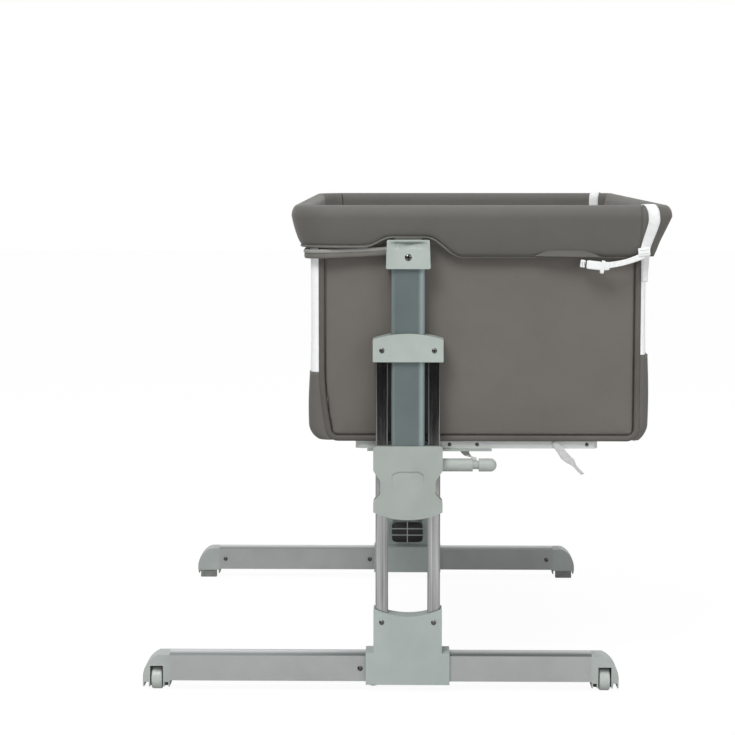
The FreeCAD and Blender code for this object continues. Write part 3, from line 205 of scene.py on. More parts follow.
def smooth_line(points, count):
    """A Catmull-Rom line through points, sampled evenly by its own length."""
    p = np.asarray(points, dtype=float)
    p = np.vstack([2 * p[0] - p[1], p, 2 * p[-1] - p[-2]])
    t = np.linspace(0, 1, 12, endpoint=False)[:, None]
    runs = []
    for a, b, c, d in zip(p, p[1:], p[2:], p[3:]):
        run = 2 * b + (c - a) * t + (2 * a - 5 * b + 4 * c - d) * t**2 + (3 * b - a - 3 * c + d) * t**3
        runs.append(run / 2)
    return even_line(np.vstack(runs + [p[-2][None]]), count)


def unit(vectors):
    """Each vector at a length of 1."""
    return vectors / np.linalg.norm(vectors, axis=-1, keepdims=True)


def squared_bar(name, points, half_wide, half_high, wide_way, power, sides=28):
    """A bar along points whose section is a squared oval: each axis is a cosine or sine raised to a power.

    wide_way is the direction that half_wide is measured in."""
    points = np.asarray(points, dtype=float)
    along = unit(np.gradient(points, axis=0))
    wide = np.broadcast_to(np.asarray(wide_way, dtype=float), points.shape)
    wide = unit(wide - (wide * along).sum(1, keepdims=True) * along)
    high = np.cross(along, wide)
    angle = np.linspace(0, 2 * np.pi, sides, endpoint=False)
    cosine = np.sign(np.cos(angle)) * np.abs(np.cos(angle)) ** power
    sine = np.sign(np.sin(angle)) * np.abs(np.sin(angle)) ** power
    half_wide = np.broadcast_to(half_wide, len(points))[:, None, None]
    half_high = np.broadcast_to(half_high, len(points))[:, None, None]
    ring = wide[:, None] * cosine[None, :, None] * half_wide + high[:, None] * sine[None, :, None] * half_high
    return facing_out(surface(name, points[:, None] + ring, round_columns=True, ends=True))


def tube_along(name, points, half_wide, half_high, wide_way, sides=12):
    """An oval tube along points: the bar's section with its power at 1."""
    return squared_bar(name, points, half_wide, half_high, wide_way, 1.0, sides)


def webbing(name, points, half_way, half_widths, wall, count):
    """Flat webbing along points: seven points across it along half_way, and two faces a wall apart."""
    points = smooth_line(points, count)
    across = unit(np.broadcast_to(np.asarray(half_way, dtype=float), points.shape))
    width_places = np.linspace(0, 1, len(half_widths))
    widths = np.interp(np.linspace(0, 1, count), width_places, half_widths)
    shares = np.linspace(-1, 1, 7)
    skin = points[:, None] + across[:, None] * (shares[None, :, None] * widths[:, None, None])
    return walled(surface(name, skin), wall, 0.0)


def to_far_end(piece, name):
    """A near piece's mirror image at the far end, with its wall and its faces turned outwards again."""
    mesh = piece.data.copy()
    points = points_of(piece) * (1, -1, 1)
    mesh.vertices.foreach_set("co", points.ravel())
    mesh.flip_normals()
    mesh.update()
    twin = bpy.data.objects.new(name, mesh)
    bpy.context.scene.collection.objects.link(twin)
    for wall in piece.modifiers:
        walled(twin, wall.thickness, wall.offset)
    return twin


def ripple(a, b, seeds):
    """Soft, repeatable unevenness between -1 and 1: the mean of slanted sines over a and b, each of
    which is divided by a length of its own and shifted."""
    total = 0
    for long, cross, shift in seeds:
        total = total + np.sin(a / long + b / cross + shift)
    return total / len(seeds)


# ---- materials --------------------------------------------------------------------------------------
def paint(red, green, blue):
    """A colour as it looks on screen, from 0 to 255, made linear for the shader."""
    share = np.array([red, green, blue]) / 255
    linear = np.where(share <= 0.04045, share / 12.92, ((share + 0.055) / 1.055) ** 2.4)
    return (*linear.tolist(), 1.0)


def finish_of(name, roughness, metallic=0.0, **sockets):
    """A new finish, with its node tree and its shader. Other sockets are named with underscores."""
    finish = bpy.data.materials.new(name)
    finish.use_nodes = True
    tree = finish.node_tree
    shader = tree.nodes["Principled BSDF"]
    shader.inputs["Roughness"].default_value = roughness
    shader.inputs["Metallic"].default_value = metallic
    for socket, value in sockets.items():
        shader.inputs[socket.replace("_", " ")].default_value = value
    return finish, tree, shader


def placed(tree, stretch=(1, 1, 1), source="Object"):
    """Places on the object or on its own map, stretched along each way."""
    coordinates = tree.nodes.new("ShaderNodeTexCoord")
    mapping = tree.nodes.new("ShaderNodeMapping")
    mapping.inputs["Scale"].default_value = stretch
    tree.links.new(coordinates.outputs[source], mapping.inputs["Vector"])
    return mapping.outputs["Vector"]


def speckle(tree, where, scale, detail=3.0, rough=0.55):
    """Soft noise with about as many spots to a metre as the scale says."""
    noise = tree.nodes.new("ShaderNodeTexNoise")
    noise.inputs["Scale"].default_value = scale
    noise.inputs["Detail"].default_value = detail
    noise.inputs["Roughness"].default_value = rough
    tree.links.new(where, noise.inputs["Vector"])
    return noise.outputs["Fac"]


def ribs(tree, where, scale, direction):
    """Even bands across a direction."""
    wave = tree.nodes.new("ShaderNodeTexWave")
    wave.wave_type = "BANDS"
    wave.bands_direction = direction
    wave.inputs["Scale"].default_value = scale
    tree.links.new(where, wave.inputs["Vector"])
    return wave.outputs["Fac"]


def combined(tree, first, second, kind="ADD"):
    """Two levels added, or put together in another way. Each may be a socket or a number."""
    node = tree.nodes.new("ShaderNodeMath")
    node.operation = kind
    for i, value in enumerate((first, second)):
        if isinstance(value, (int, float)):
            node.inputs[i].default_value = value
        else:
            tree.links.new(value, node.inputs[i])
    return node.outputs[0]


def between(tree, amount, low, high, start=0.0, end=1.0):
    """Runs from low to high as the amount runs from start to end, and stays level beyond them."""
    span = tree.nodes.new("ShaderNodeMapRange")
    span.inputs["From Min"].default_value = start
    span.inputs["From Max"].default_value = end
    span.inputs["To Min"].default_value = low
    span.inputs["To Max"].default_value = high
    tree.links.new(amount, span.inputs["Value"])
    return span.outputs["Result"]


def mixed(tree, amount, first, second, blend="MIX", kind="RGBA"):
    """A mix of two colours, or of two levels where the kind is FLOAT. Each may be a socket or a value."""
    mix = tree.nodes.new("ShaderNodeMix")
    mix.data_type = kind
    mix.blend_type = blend
    first_socket, second_socket, result = (6, 7, 2) if kind == "RGBA" else (2, 3, 0)
    for socket, value in ((0, amount), (first_socket, first), (second_socket, second)):
        if hasattr(value, "is_output"):
            tree.links.new(value, mix.inputs[socket])
        else:
            mix.inputs[socket].default_value = value
    return mix.outputs[result]


def coloured(tree, shader, amount, low, high):
    """The base colour runs from low to high over the middle of a noise's range."""
    colour = mixed(tree, between(tree, amount, 0, 1, 0.3, 0.7), low, high)
    tree.links.new(colour, shader.inputs["Base Color"])


def raised(tree, shader, height, strength, distance, sunk=False):
    """Relief on the surface, up to the distance high where the height is 1, or as deep where sunk."""
    bump = tree.nodes.new("ShaderNodeBump")
    bump.invert = sunk
    bump.inputs["Strength"].default_value = strength
    bump.inputs["Distance"].default_value = distance
    tree.links.new(height, bump.inputs["Height"])
    tree.links.new(bump.outputs["Normal"], shader.inputs["Normal"])


def woven_cloth(name, dark, light, slack=0.6 * mm):
    """Close plain-woven polyester: a fine crossed weave over slow puckers, a little mottled, with sheen."""
    sheen = {"Sheen_Weight": 0.18, "Sheen_Roughness": 0.35, "Specular_IOR_Level": 0.4}
    finish, tree, shader = finish_of(name, 0.62, **sheen)
    where = placed(tree)
    coloured(tree, shader, speckle(tree, where, 7, 5, 0.7), dark, light)
    threads = 420
    warp = ribs(tree, where, threads, "DIAGONAL")
    weft = ribs(tree, placed(tree, (-1, 1, 1)), threads, "DIAGONAL")
    weave = combined(tree, warp, weft, "MULTIPLY")
    thread_height = 0.2 * mm
    slow = speckle(tree, placed(tree, (1, 1, 1.6)), 9, 2, 0.45)
    pucker = between(tree, slow, 0, slack / thread_height)
    raised(tree, shader, combined(tree, weave, pucker), 0.5, thread_height)
    return finish


def moulded_plastic(name, dark, light, roughness=0.42):
    """Moulded polypropylene with a fine spark-eroded grain and a faint flow mottle."""
    finish, tree, shader = finish_of(name, roughness, Specular_IOR_Level=0.5)
    where = placed(tree)
    coloured(tree, shader, speckle(tree, where, 18, 3), dark, light)
    grain = speckle(tree, where, 900, 2)
    tree.links.new(between(tree, grain, roughness - 0.06, roughness + 0.08), shader.inputs["Roughness"])
    raised(tree, shader, grain, 0.25, 0.1 * mm)
    return finish


def coated_steel(name, dark, light, roughness, metallic):
    """Powder-coated or satin-lacquered tube: a slow mottle and orange peel at about a millimetre."""
    finish, tree, shader = finish_of(name, roughness, metallic)
    where = placed(tree)
    coloured(tree, shader, speckle(tree, where, 22, 3), dark, light)
    peel = speckle(tree, where, 650, 2)
    tree.links.new(between(tree, peel, roughness - 0.05, roughness + 0.06), shader.inputs["Roughness"])
    raised(tree, shader, peel, 0.18, 0.1 * mm)
    return finish


def stepped(tree, amount, steps, colours):
    """A colour that runs through the given stops as the amount grows from 0 to 1."""
    ramp = tree.nodes.new("ShaderNodeValToRGB")
    while len(ramp.color_ramp.elements) < len(steps):
        ramp.color_ramp.elements.new(0.5)
    for element, step, colour in zip(ramp.color_ramp.elements, steps, colours):
        element.position = step
        element.color = colour
    tree.links.new(amount, ramp.inputs["Fac"])
    return ramp.outputs["Color"]


def axes_of(tree):
    """The object's own X, Y and Z."""
    coordinates = tree.nodes.new("ShaderNodeTexCoord")
    parts = tree.nodes.new("ShaderNodeSeparateXYZ")
    tree.links.new(coordinates.outputs["Object"], parts.inputs[0])
    return parts.outputs


def away_from(tree, axis, middle):
    """The distance along an axis from a middle, the same to both sides."""
    return combined(tree, combined(tree, axis, middle, "SUBTRACT"), 0, "ABSOLUTE")


def greys(levels):
    """Greys that multiply a plain colour."""
    return [(level, level, level, 1.0) for level in levels]


def opened(finish):
    """A finish's node tree, its shader and the socket that gives its plain colour."""
    tree = finish.node_tree
    shader = tree.nodes["Principled BSDF"]
    return tree, shader, shader.inputs["Base Color"].links[0].from_socket


def beam_coat_with_painted_light():
    """The foot beams' satin coat, with a painted highlight along the top between painted dark reflections on
    its shoulders.
    """
    finish = coated_steel("beam_paint_with_painted_light", paint(170, 173, 172), paint(178, 181, 180), 0.36, 0.3)
    tree, shader, plain = opened(finish)
    axes = axes_of(tree)
    middle = (beam_low.y + beam_high.y) / 2
    across = away_from(tree, combined(tree, axes["Y"], 0, "ABSOLUTE"), abs(middle))
    away = between(tree, across, 0, 1, 0, (beam_high.y - beam_low.y) / 2)
    # painted highlight in the middle of the top, painted dark reflections towards its edges
    highlight_and_reflection_tones = [paint(206, 208, 208), paint(190, 193, 193), paint(120, 124, 124), paint(128, 132, 132)]
    crown = stepped(tree, away, (0.0, 0.3, 0.72, 1.0), highlight_and_reflection_tones)
    # the painted highlight and reflections lie only on the top face
    top = between(tree, axes["Z"], 0, 1, beam_high.z - 3.4 * mm, beam_high.z - 2.9 * mm)
    tree.links.new(mixed(tree, top, plain, crown), shader.inputs["Base Color"])
    return finish


def column_coat_with_painted_highlights():
    """The central tubes' dark satin coat, with painted highlights along its two rounded edges, brighter on
    the bed side.
    """
    finish = coated_steel("tube_paint_with_painted_highlights", paint(109, 121, 121), paint(115, 127, 127), 0.32, 0.3)
    tree, shader, plain = opened(finish)
    across = between(tree, axes_of(tree)["X"], 0, 1, tube_low.x, tube_high.x)
    # paler bands at both rounded edges are painted highlights, brighter on the bed side
    steps = (0.0, 0.07, 0.13, 0.79, 0.88, 1.0)
    edge = stepped(tree, across, steps, greys((1.5, 1.3, 1.0, 1.0, 1.9, 1.6)))
    tree.links.new(mixed(tree, 1.0, plain, edge, "MULTIPLY"), shader.inputs["Base Color"])
    return finish


def rail_coat_with_painted_reflections():
    """Polished plate on the rails with soft streaks along them; its darker rounded edges and one bright line
    are painted reflections.
    """
    finish = polished_steel("rail_plate_with_painted_reflections", paint(196, 197, 196), 0.12)
    tree, shader, plain = opened(finish)
    off = away_from(tree, axes_of(tree)["X"], column_x)
    across = between(tree, off, 0, 1, rail_inner, rail_outer)
    # darker rounded edges and one bright line across each rail are painted reflections
    steps = (0.0, 0.1, 0.22, 0.45, 0.72, 0.86, 1.0)
    edge = stepped(tree, across, steps, greys((0.8, 1.2, 0.72, 1.0, 1.08, 0.92, 0.5)))
    streak = between(tree, speckle(tree, placed(tree, (1, 1, 0.03)), 230, 2), 0.72, 1.12, 0.3, 0.7)
    tint = mixed(tree, 1.0, plain, edge, "MULTIPLY")
    joined = tree.nodes.new("ShaderNodeVectorMath")
    joined.operation = "SCALE"
    tree.links.new(tint, joined.inputs[0])
    tree.links.new(streak, joined.inputs["Scale"])
    tree.links.new(joined.outputs[0], shader.inputs["Base Color"])
    return finish


def scooped_coat_with_painted_shade():
    """The top brackets' plastic, whose front has a shallow scoop under its upper lip, darkened there as
    painted shade.
    """
    finish = moulded_plastic("scooped_plastic_with_painted_shade", paint(165, 174, 168), paint(176, 185, 179))
    tree, shader, plain = opened(finish)
    axes = axes_of(tree)
    wide = (bracket_high.x - bracket_low.x) / 2
    off = away_from(tree, axes["X"], column_x)
    side = between(tree, off, 1, 0, wide - 16 * mm, wide - 3 * mm)
    lip = bracket_low.z + 42.4 * mm
    fall = between(tree, axes["Z"], 0, 1, lip - 14 * mm, lip - 6 * mm)
    rise = between(tree, axes["Z"], 1, 0, lip - 5.0 * mm, lip - 2.2 * mm)
    scoop = combined(tree, combined(tree, fall, rise, "MULTIPLY"), side, "MULTIPLY")
    raised(tree, shader, scoop, 1.0, 3.2 * mm, sunk=True)
    # painted shade: the colour darkens towards grey in the scoop under the lip
    shade = mixed(tree, between(tree, scoop, 0, 0.55), plain, paint(92, 98, 95))
    tree.links.new(shade, shader.inputs["Base Color"])
    return finish


def polished_steel(name, tint, roughness, stretch=(9, 9, 0.6)):
    """Bright plated steel with very faint polishing lines along its length."""
    finish, tree, shader = finish_of(name, roughness, 1.0)
    lines = speckle(tree, placed(tree, stretch), 60, 4)
    coloured(tree, shader, lines, tuple(0.9 * c for c in tint[:3]) + (1.0,), tint)
    tree.links.new(between(tree, lines, roughness - 0.03, roughness + 0.05), shader.inputs["Roughness"])
    raised(tree, shader, lines, 0.04, 0.1 * mm)
    return finish


def ribbed_webbing(name, dark, light):
    """Narrow woven webbing: ribs across it, rows along it, on the strap's own map."""
    finish, tree, shader = finish_of(name, 0.7, Sheen_Weight=0.1)
    where = placed(tree, (1, 1, 1), "UV")
    cross = ribs(tree, where, 260, "X")
    rows = ribs(tree, where, 380, "Y")
    coloured(tree, shader, speckle(tree, where, 160, 3), dark, light)
    raised(tree, shader, combined(tree, cross, rows, "MULTIPLY"), 0.5, 0.25 * mm)
    return finish


def open_net(name, dark, light, pitch, hole_cover):
    """Knitted net: small round holes in rows, the rest a pale soft yarn. A hole still covers a share of
    what lies behind it, as its finest threads do."""
    finish, tree, shader = finish_of(name, 0.75, Sheen_Weight=0.1)
    where = placed(tree, (1, 1, 1), "UV")
    coloured(tree, shader, speckle(tree, where, 90, 3), dark, light)
    holes = tree.nodes.new("ShaderNodeTexVoronoi")
    holes.voronoi_dimensions = "2D"
    holes.inputs["Scale"].default_value = 1 / pitch
    holes.inputs["Randomness"].default_value = 0.15
    tree.links.new(where, holes.inputs["Vector"])
    yarn = between(tree, holes.outputs["Distance"], 0.0, 1.0, 0.16, 0.26)
    tree.links.new(combined(tree, yarn, hole_cover, "MAXIMUM"), shader.inputs["Alpha"])
    raised(tree, shader, holes.outputs["Distance"], 0.4, 0.4 * mm)
    return finish


def rubber(name, dark, light):
    """Matt moulded rubber with a fine grain."""
    finish, tree, shader = finish_of(name, 0.85)
    where = placed(tree)
    coloured(tree, shader, speckle(tree, where, 140, 4), dark, light)
    raised(tree, shader, speckle(tree, where, 700, 2), 0.3, 0.2 * mm)
    return finish


def pressed_board(name, dark, light):
    """Pressed wood fibres, drawn out along the board."""
    finish, tree, shader = finish_of(name, 0.8)
    where = placed(tree, (1, 0.3, 1))
    coloured(tree, shader, speckle(tree, where, 60, 6, 0.7), dark, light)
    raised(tree, shader, speckle(tree, where, 400, 3), 0.3, 0.2 * mm)
    return finish


wall_cloth = woven_cloth("wall_cloth", paint(103, 99, 94), paint(109, 105, 100))
# the cover cloth is its own tone darkened a little further as painted shade of the rim's skirt, which leans
# away from the light
cover_cloth_with_painted_shade = woven_cloth("cover_cloth_with_painted_shade", paint(96, 94, 90), paint(102, 100, 95))
binding_cloth = woven_cloth("binding_cloth", paint(84, 81, 76), paint(100, 97, 92), 0.2 * mm)
side_cloth = woven_cloth("side_cloth", paint(96, 95, 91), paint(103, 101, 97))
hem_cloth = woven_cloth("hem_cloth", paint(104, 102, 96), paint(122, 120, 114), 0.3 * mm)
tape_cloth = woven_cloth("tape_cloth", paint(138, 138, 133), paint(168, 168, 163), 0.2 * mm)
seam_thread = woven_cloth("seam_thread", paint(40, 39, 37), paint(52, 50, 47), 0.1 * mm)
floor_cloth = woven_cloth("floor_cloth", paint(92, 90, 86), paint(104, 102, 97))
mattress_cloth = woven_cloth("mattress_cloth", paint(215, 215, 212), paint(222, 222, 219))
net = open_net("net", paint(246, 247, 248), paint(252, 252, 253), 2.4 * mm, 0.93)
white_webbing = ribbed_webbing("white_webbing", paint(228, 229, 229), paint(243, 244, 244))
grey_webbing = ribbed_webbing("grey_webbing", paint(186, 187, 186), paint(206, 207, 206))
beam_paint_with_painted_light = beam_coat_with_painted_light()
tube_paint_with_painted_highlights = column_coat_with_painted_highlights()
scooped_plastic_with_painted_shade = scooped_coat_with_painted_shade()
frame_paint = coated_steel("frame_paint", paint(200, 203, 201), paint(212, 215, 213), 0.45, 0.15)
# near-black plastic used only as painted shade: in the grille's opening and in the buckle's gap and slots
painted_shade_plastic = moulded_plastic("painted_shade_plastic", paint(38, 38, 38), paint(52, 52, 52))
rail_plate_with_painted_reflections = rail_coat_with_painted_reflections()
# darker than the pins' steel: painted shade of the screws' recesses
screw_steel = polished_steel("screw_steel", paint(112, 114, 114), 0.24, (6, 6, 6))
pin_steel = polished_steel("pin_steel", paint(190, 190, 188), 0.3, (6, 6, 6))
bracket_plastic = moulded_plastic("bracket_plastic", paint(164, 173, 170), paint(174, 183, 180))
housing_plastic = moulded_plastic("housing_plastic", paint(158, 165, 160), paint(169, 176, 171))
collar_plastic = moulded_plastic("collar_plastic", paint(165, 174, 168), paint(176, 185, 179))
cap_plastic = moulded_plastic("cap_plastic", paint(163, 169, 166), paint(174, 180, 177))
wheel_plastic = moulded_plastic("wheel_plastic", paint(176, 183, 178), paint(188, 194, 189), 0.35)
lock_plastic = moulded_plastic("lock_plastic", paint(166, 172, 168), paint(177, 183, 179))
buckle_plastic = moulded_plastic("buckle_plastic", paint(228, 230, 230), paint(243, 244, 244), 0.3)
pad_rubber = rubber("pad_rubber", paint(120, 122, 120), paint(138, 140, 138))
base_fibre = pressed_board("base_fibre", paint(112, 104, 92), paint(132, 124, 110))

node_finishes = {
    "foot_beam": beam_paint_with_painted_light,
    "end_caps": cap_plastic,
    "left_wheel": wheel_plastic,
    "right_wheel": wheel_plastic,
    "wheel_axles": pin_steel,
    "floor_pads": pad_rubber,
    "foot_screws": screw_steel,
    "base_bracket": bracket_plastic,
    "slide_liners": lock_plastic,
    "rails": rail_plate_with_painted_reflections,
    "collar": collar_plastic,
    "column_screws": screw_steel,
    "slide_lock": lock_plastic,
    "central_tube": tube_paint_with_painted_highlights,
    "top_bracket": scooped_plastic_with_painted_shade,
    "top_bracket_screws": screw_steel,
    "housing_front": housing_plastic,
    "housing_back": housing_plastic,
    "release_plate": lock_plastic,
    "left_lock_pin": pin_steel,
    "right_lock_pin": pin_steel,
    "strap_posts": lock_plastic,
    "lower_frame": frame_paint,
    "lower_frame_rivets": screw_steel,
    "rim_frame": pin_steel,
    "rim_plugs": lock_plastic,
    "barrier_tube": pin_steel,
    "drop_rail": pin_steel,
    "base_board": base_fibre,
    "buckle_sockets": buckle_plastic,
    "buckle_plugs": buckle_plastic,
    "strap_adjusters": buckle_plastic,
}


def coat(piece, finish):
    piece.data.materials.clear()
    piece.data.materials.append(finish)
    return piece


def kind_of(node):
    """A node's name without its end's, since both ends take the same finish."""
    for end in ("near_", "far_"):
        if node.startswith(end):
            return node[len(end):]
    return node


def coat_frame():
    """Every CAD node that stays takes its finish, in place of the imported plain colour."""
    for node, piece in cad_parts.items():
        finish = node_finishes.get(kind_of(node))
        if finish is None:
            continue
        if not piece.data.materials:
            piece.data.materials.append(finish)
        for place in range(len(piece.data.materials)):
            piece.data.materials[place] = finish


def dressed(piece, finish, body, node=None):
    """Gives a piece its finish and its body, and hides the CAD node that it replaces, if any."""
    coat(piece, finish)
    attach(piece, body)
    if node:
        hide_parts(node)
    return piece


def both_ends(near, far_name, finish, slot, body, node=None, far_node=None):
    """Dresses a near piece and its mirror image at the far end."""
    far = to_far_end(near, far_name)
    dressed(near, finish, body, node)
    dressed(far, finish, body, far_node)
    return near, far


# ---- soft-edged mouldings over the CAD's sharp ones --------------------------------------------------
# each: the body that carries it, the width of its rounded edges
softened_nodes = {
    "base_bracket": ("carriage", 1.4 * mm),
    "collar": ("carriage", 1.3 * mm),
    "top_bracket": ("basket", 1.2 * mm),
    "housing_front": ("basket", 1.3 * mm),
    "housing_back": ("basket", 1.0 * mm),
}


def softened(node, body, finish, width):
    """A copy of a moulding with its doubled points merged, flat faces joined and its edges rounded."""
    shape = bmesh.new()
    shape.from_mesh(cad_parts[node].data)
    bmesh.ops.remove_doubles(shape, verts=shape.verts, dist=0.01 * mm)
    flat_angle = math.radians(0.6)
    bmesh.ops.dissolve_limit(shape, angle_limit=flat_angle, verts=shape.verts, edges=shape.edges)
    mesh = bpy.data.meshes.new(node + "_moulding")
    shape.to_mesh(mesh)
    shape.free()
    mesh.polygons.foreach_set("use_smooth", np.ones(len(mesh.polygons), dtype=bool))
    piece = bpy.data.objects.new(node + "_moulding", mesh)
    bpy.context.scene.collection.objects.link(piece)
    edge = piece.modifiers.new("edge", "BEVEL")
    edge.width = width
    edge.segments = 2
    edge.limit_method = "ANGLE"
    edge.angle_limit = math.radians(30)
    edge.harden_normals = False
    edge.use_clamp_overlap = True
    flat = piece.modifiers.new("flat", "WEIGHTED_NORMAL")
    flat.keep_sharp = False
    return dressed(piece, finish, body, node)


def soften_mouldings():
    for end in ("near_", "far_"):
        for kind, (body, width) in softened_nodes.items():
            softened(end + kind, body, node_finishes[kind], width)


# ---- the rim's covers -------------------------------------------------------------------------------
def u_path(open_x, side_x, end_y, radius, leg, turn, side):
    """Plan points and outward normals of a U: near leg, rounded corner, side, rounded corner, far leg.

    A leg lies at |y| = end_y, a corner is a quarter circle of the radius, and the side lies at side_x."""
    facing = math.copysign(1, side_x - open_x)
    centre = side_x - facing * radius
    ys = end_y - radius
    xs = np.linspace(open_x, centre, leg, endpoint=False)
    angle = np.linspace(0, np.pi / 2, turn, endpoint=False)
    half_side = np.linspace(-ys, 0, side, endpoint=False)
    x = np.concatenate([xs, centre + facing * radius * np.sin(angle), np.full(side, side_x)])
    y = np.concatenate([np.full(leg, -end_y), -ys - radius * np.cos(angle), half_side])
    nx = np.concatenate([np.zeros(leg), facing * np.sin(angle), np.full(side, facing)])
    ny = np.concatenate([np.full(leg, -1.0), -np.cos(angle), np.zeros(side)])
    x = np.concatenate([x, [side_x], x[::-1]])
    y = np.concatenate([y, [0.0], -y[::-1]])
    nx = np.concatenate([nx, [facing], nx[::-1]])
    ny = np.concatenate([ny, [0.0], -ny[::-1]])
    return np.stack([x, y], 1), np.stack([nx, ny], 1)


def cosine_ramp(x, start, end):
    """Rises from 0 at the start to 1 at the end as half a cosine wave."""
    return 0.5 - 0.5 * np.cos(np.pi * np.clip((x - start) / (end - start), 0, 1))


def hem_line(x, along_end):
    """The cover's hem height: low towards the bed, arched over the top bracket, higher at the left.

    The steps between the three levels are cosine ramps in x, and the left side keeps its own level."""
    rise = cosine_ramp(x, arch_start, arch_full)
    fall = cosine_ramp(x, arch_leave, arch_end)
    height = left_hem + (arch_hem - left_hem) * rise + (side_hem - arch_hem) * fall
    return np.where(along_end, height, left_hem)


# each: length along the rim, length down the skirt, start
cover_ripples = [
    (31 * mm, 90 * mm, 0.4),
    (47 * mm, -60 * mm, 2.1),
    (73 * mm, 140 * mm, 4.4),
    (19 * mm, 80 * mm, 1.2),
]


def cover_skin(path, normals, hem, tuck, curl):
    """The padded cover's outer skin, from its inner hem over the crown to its outer hem.

    The crown is half an ellipse over the rim tube. Both skirts lean inwards below it by a share of the
    drop. The outer one bellies a little as half a sine, and its hem curls in by the square of the last
    fifth of its fall. Slow ripples grow towards the hems."""
    reach = rim_overhang
    rows = len(path)
    inner = np.linspace(0, 1, 7)[:-1]
    inner_u = -reach - inner_tuck * (1 - inner)
    inner_z = inner_hem + (rim_widest - inner_hem) * inner
    turn = np.linspace(np.pi, 0, 17)
    crown_u = reach * np.cos(turn)
    crown_z = rim_widest + (rim_top - rim_widest) * np.sin(turn)
    fall = np.linspace(0, 1, 13)[1:]
    drop = (rim_widest - hem)[:, None] * fall
    slope = (tuck / (rim_widest - side_hem))[:, None]
    full_skirt = 50 * mm
    belly = 1.6 * mm * np.sin(np.pi * fall) * np.clip((rim_widest - hem) / full_skirt, 0, 1)[:, None]
    outer_u = reach - slope * drop + belly - curl[:, None] * np.clip((fall - 0.8) / 0.2, 0, 1) ** 2
    outer_z = rim_widest - drop
    u = np.hstack([np.tile(np.concatenate([inner_u, crown_u]), (rows, 1)), outer_u])
    z = np.hstack([np.tile(np.concatenate([inner_z, crown_z]), (rows, 1)), outer_z])
    length = np.concatenate([[0], np.cumsum(np.linalg.norm(np.diff(path, axis=0), axis=1))])[:, None]
    slackness = np.clip((rim_top - z) / (60 * mm), 0.12, 1)
    u = u + 0.9 * mm * slackness * ripple(length, z, cover_ripples)
    x = path[:, :1] + normals[:, :1] * u
    y = path[:, 1:] + normals[:, 1:] * u
    return np.stack([x, y, z], -1)


def rim_cover():
    """The fixed rim's padded cover: near end, left side and far end in one skin."""
    side_x = cover_low.x + rim_overhang + left_inset
    open_x = split_x + cover_seam_gap
    path, normals = u_path(open_x, side_x, rim_end - rim_overhang, left_turn, 90, 16, 44)
    path[:, 0] -= left_inset * np.abs(normals[:, 0])
    hem = hem_line(path[:, 0], np.abs(normals[:, 1]) > 0.98)
    skin = cover_skin(path, normals, hem, np.full(len(path), hem_tuck), np.full(len(path), 1.5 * mm))
    piece = walled(surface("fixed_rim_cover", skin), cloth_wall)
    dressed(piece, cover_cloth_with_painted_shade, "basket", "rim_cover")
    return skin


def bed_cover():
    """The drop side's padded cover, with both of its corners."""
    side_x = drop_high.x - rim_overhang
    open_x = split_x + split_gap - cover_seam_gap
    path, normals = u_path(open_x, side_x, rim_end - rim_overhang, bed_turn - rim_overhang, 8, 12, 46)
    side_share = normals[:, 0] ** 2
    tuck = hem_tuck * (1 - side_share) + bed_hem_tuck * side_share
    skin = cover_skin(path, normals, np.full(len(path), side_hem), tuck, (1.5 + 7 * side_share) * mm)
    piece = walled(surface("bed_side_cover", skin, turned=True), cloth_wall)
    dressed(piece, cover_cloth_with_painted_shade, "drop_side", "drop_cover")


# ---- the basket's walls -----------------------------------------------------------------------------
def wall_edge(z, side):
    """Where an end wall's seam lies at height z. By the left foot it leans in towards the middle."""
    if side > 0:
        return np.full_like(z, seam_right - bed_seam_inset)
    low = np.clip((basket_low + lean_height - z) / lean_height, 0, 1)
    return seam_left + left_seam_inset + seam_lean * low**1.7


# each: length across the wall, length up it, start
end_wall_ripples = [
    (58 * mm, 120 * mm, 0.3),
    (95 * mm, -70 * mm, 1.7),
    (39 * mm, 52 * mm, 3.1),
    (150 * mm, 60 * mm, 5.0),
]


def end_wall():
    """A padded end wall as a height field on shares of its width and height.

    Depth outwards = board face + a pillow, which is one less an exponential fall over the distance to
    the nearest seam, and slow puckers that fade at the seams."""
    columns = np.linspace(0, 1, 120)
    rows = np.linspace(0, 1, 90)
    z = basket_low + 6.5 * mm + (panel_high.z - basket_low - 7 * mm) * rows
    left = wall_edge(z, -1)
    right = wall_edge(z, 1)
    x = left[:, None] + (right - left)[:, None] * columns[None]
    z = np.repeat(z[:, None], len(columns), 1)
    away = np.minimum(np.minimum(x - left[:, None], right[:, None] - x), z - z[0, 0])
    away = np.clip(away, 0, None)
    pillow = 1 - np.exp(-away / (13 * mm))
    pucker = 0.35 * mm * ripple(x, z, end_wall_ripples) * np.clip(away / (30 * mm), 0, 1)
    y = panel_low.y + 2.6 * mm - 2.3 * mm * pillow - pucker
    front = np.stack([x, y, z], -1)
    piece = coat(walled(surface("near_end_wall", front, turned=True), 8 * mm), wall_cloth)

    def held(points):
        """True by the seams and the foot, and on the wall's inner face."""
        to_left = points[:, 0] - wall_edge(points[:, 2], -1)
        to_right = wall_edge(points[:, 2], 1) - points[:, 0]
        to_foot = points[:, 2] - z.min()
        by_seam = np.minimum(np.minimum(to_left, to_right), to_foot) < 3.5 * mm
        return by_seam | (points[:, 1] > panel_low.y + 7 * mm)

    return filled(piece, 4.5 * mm, 2.6 * mm, held)


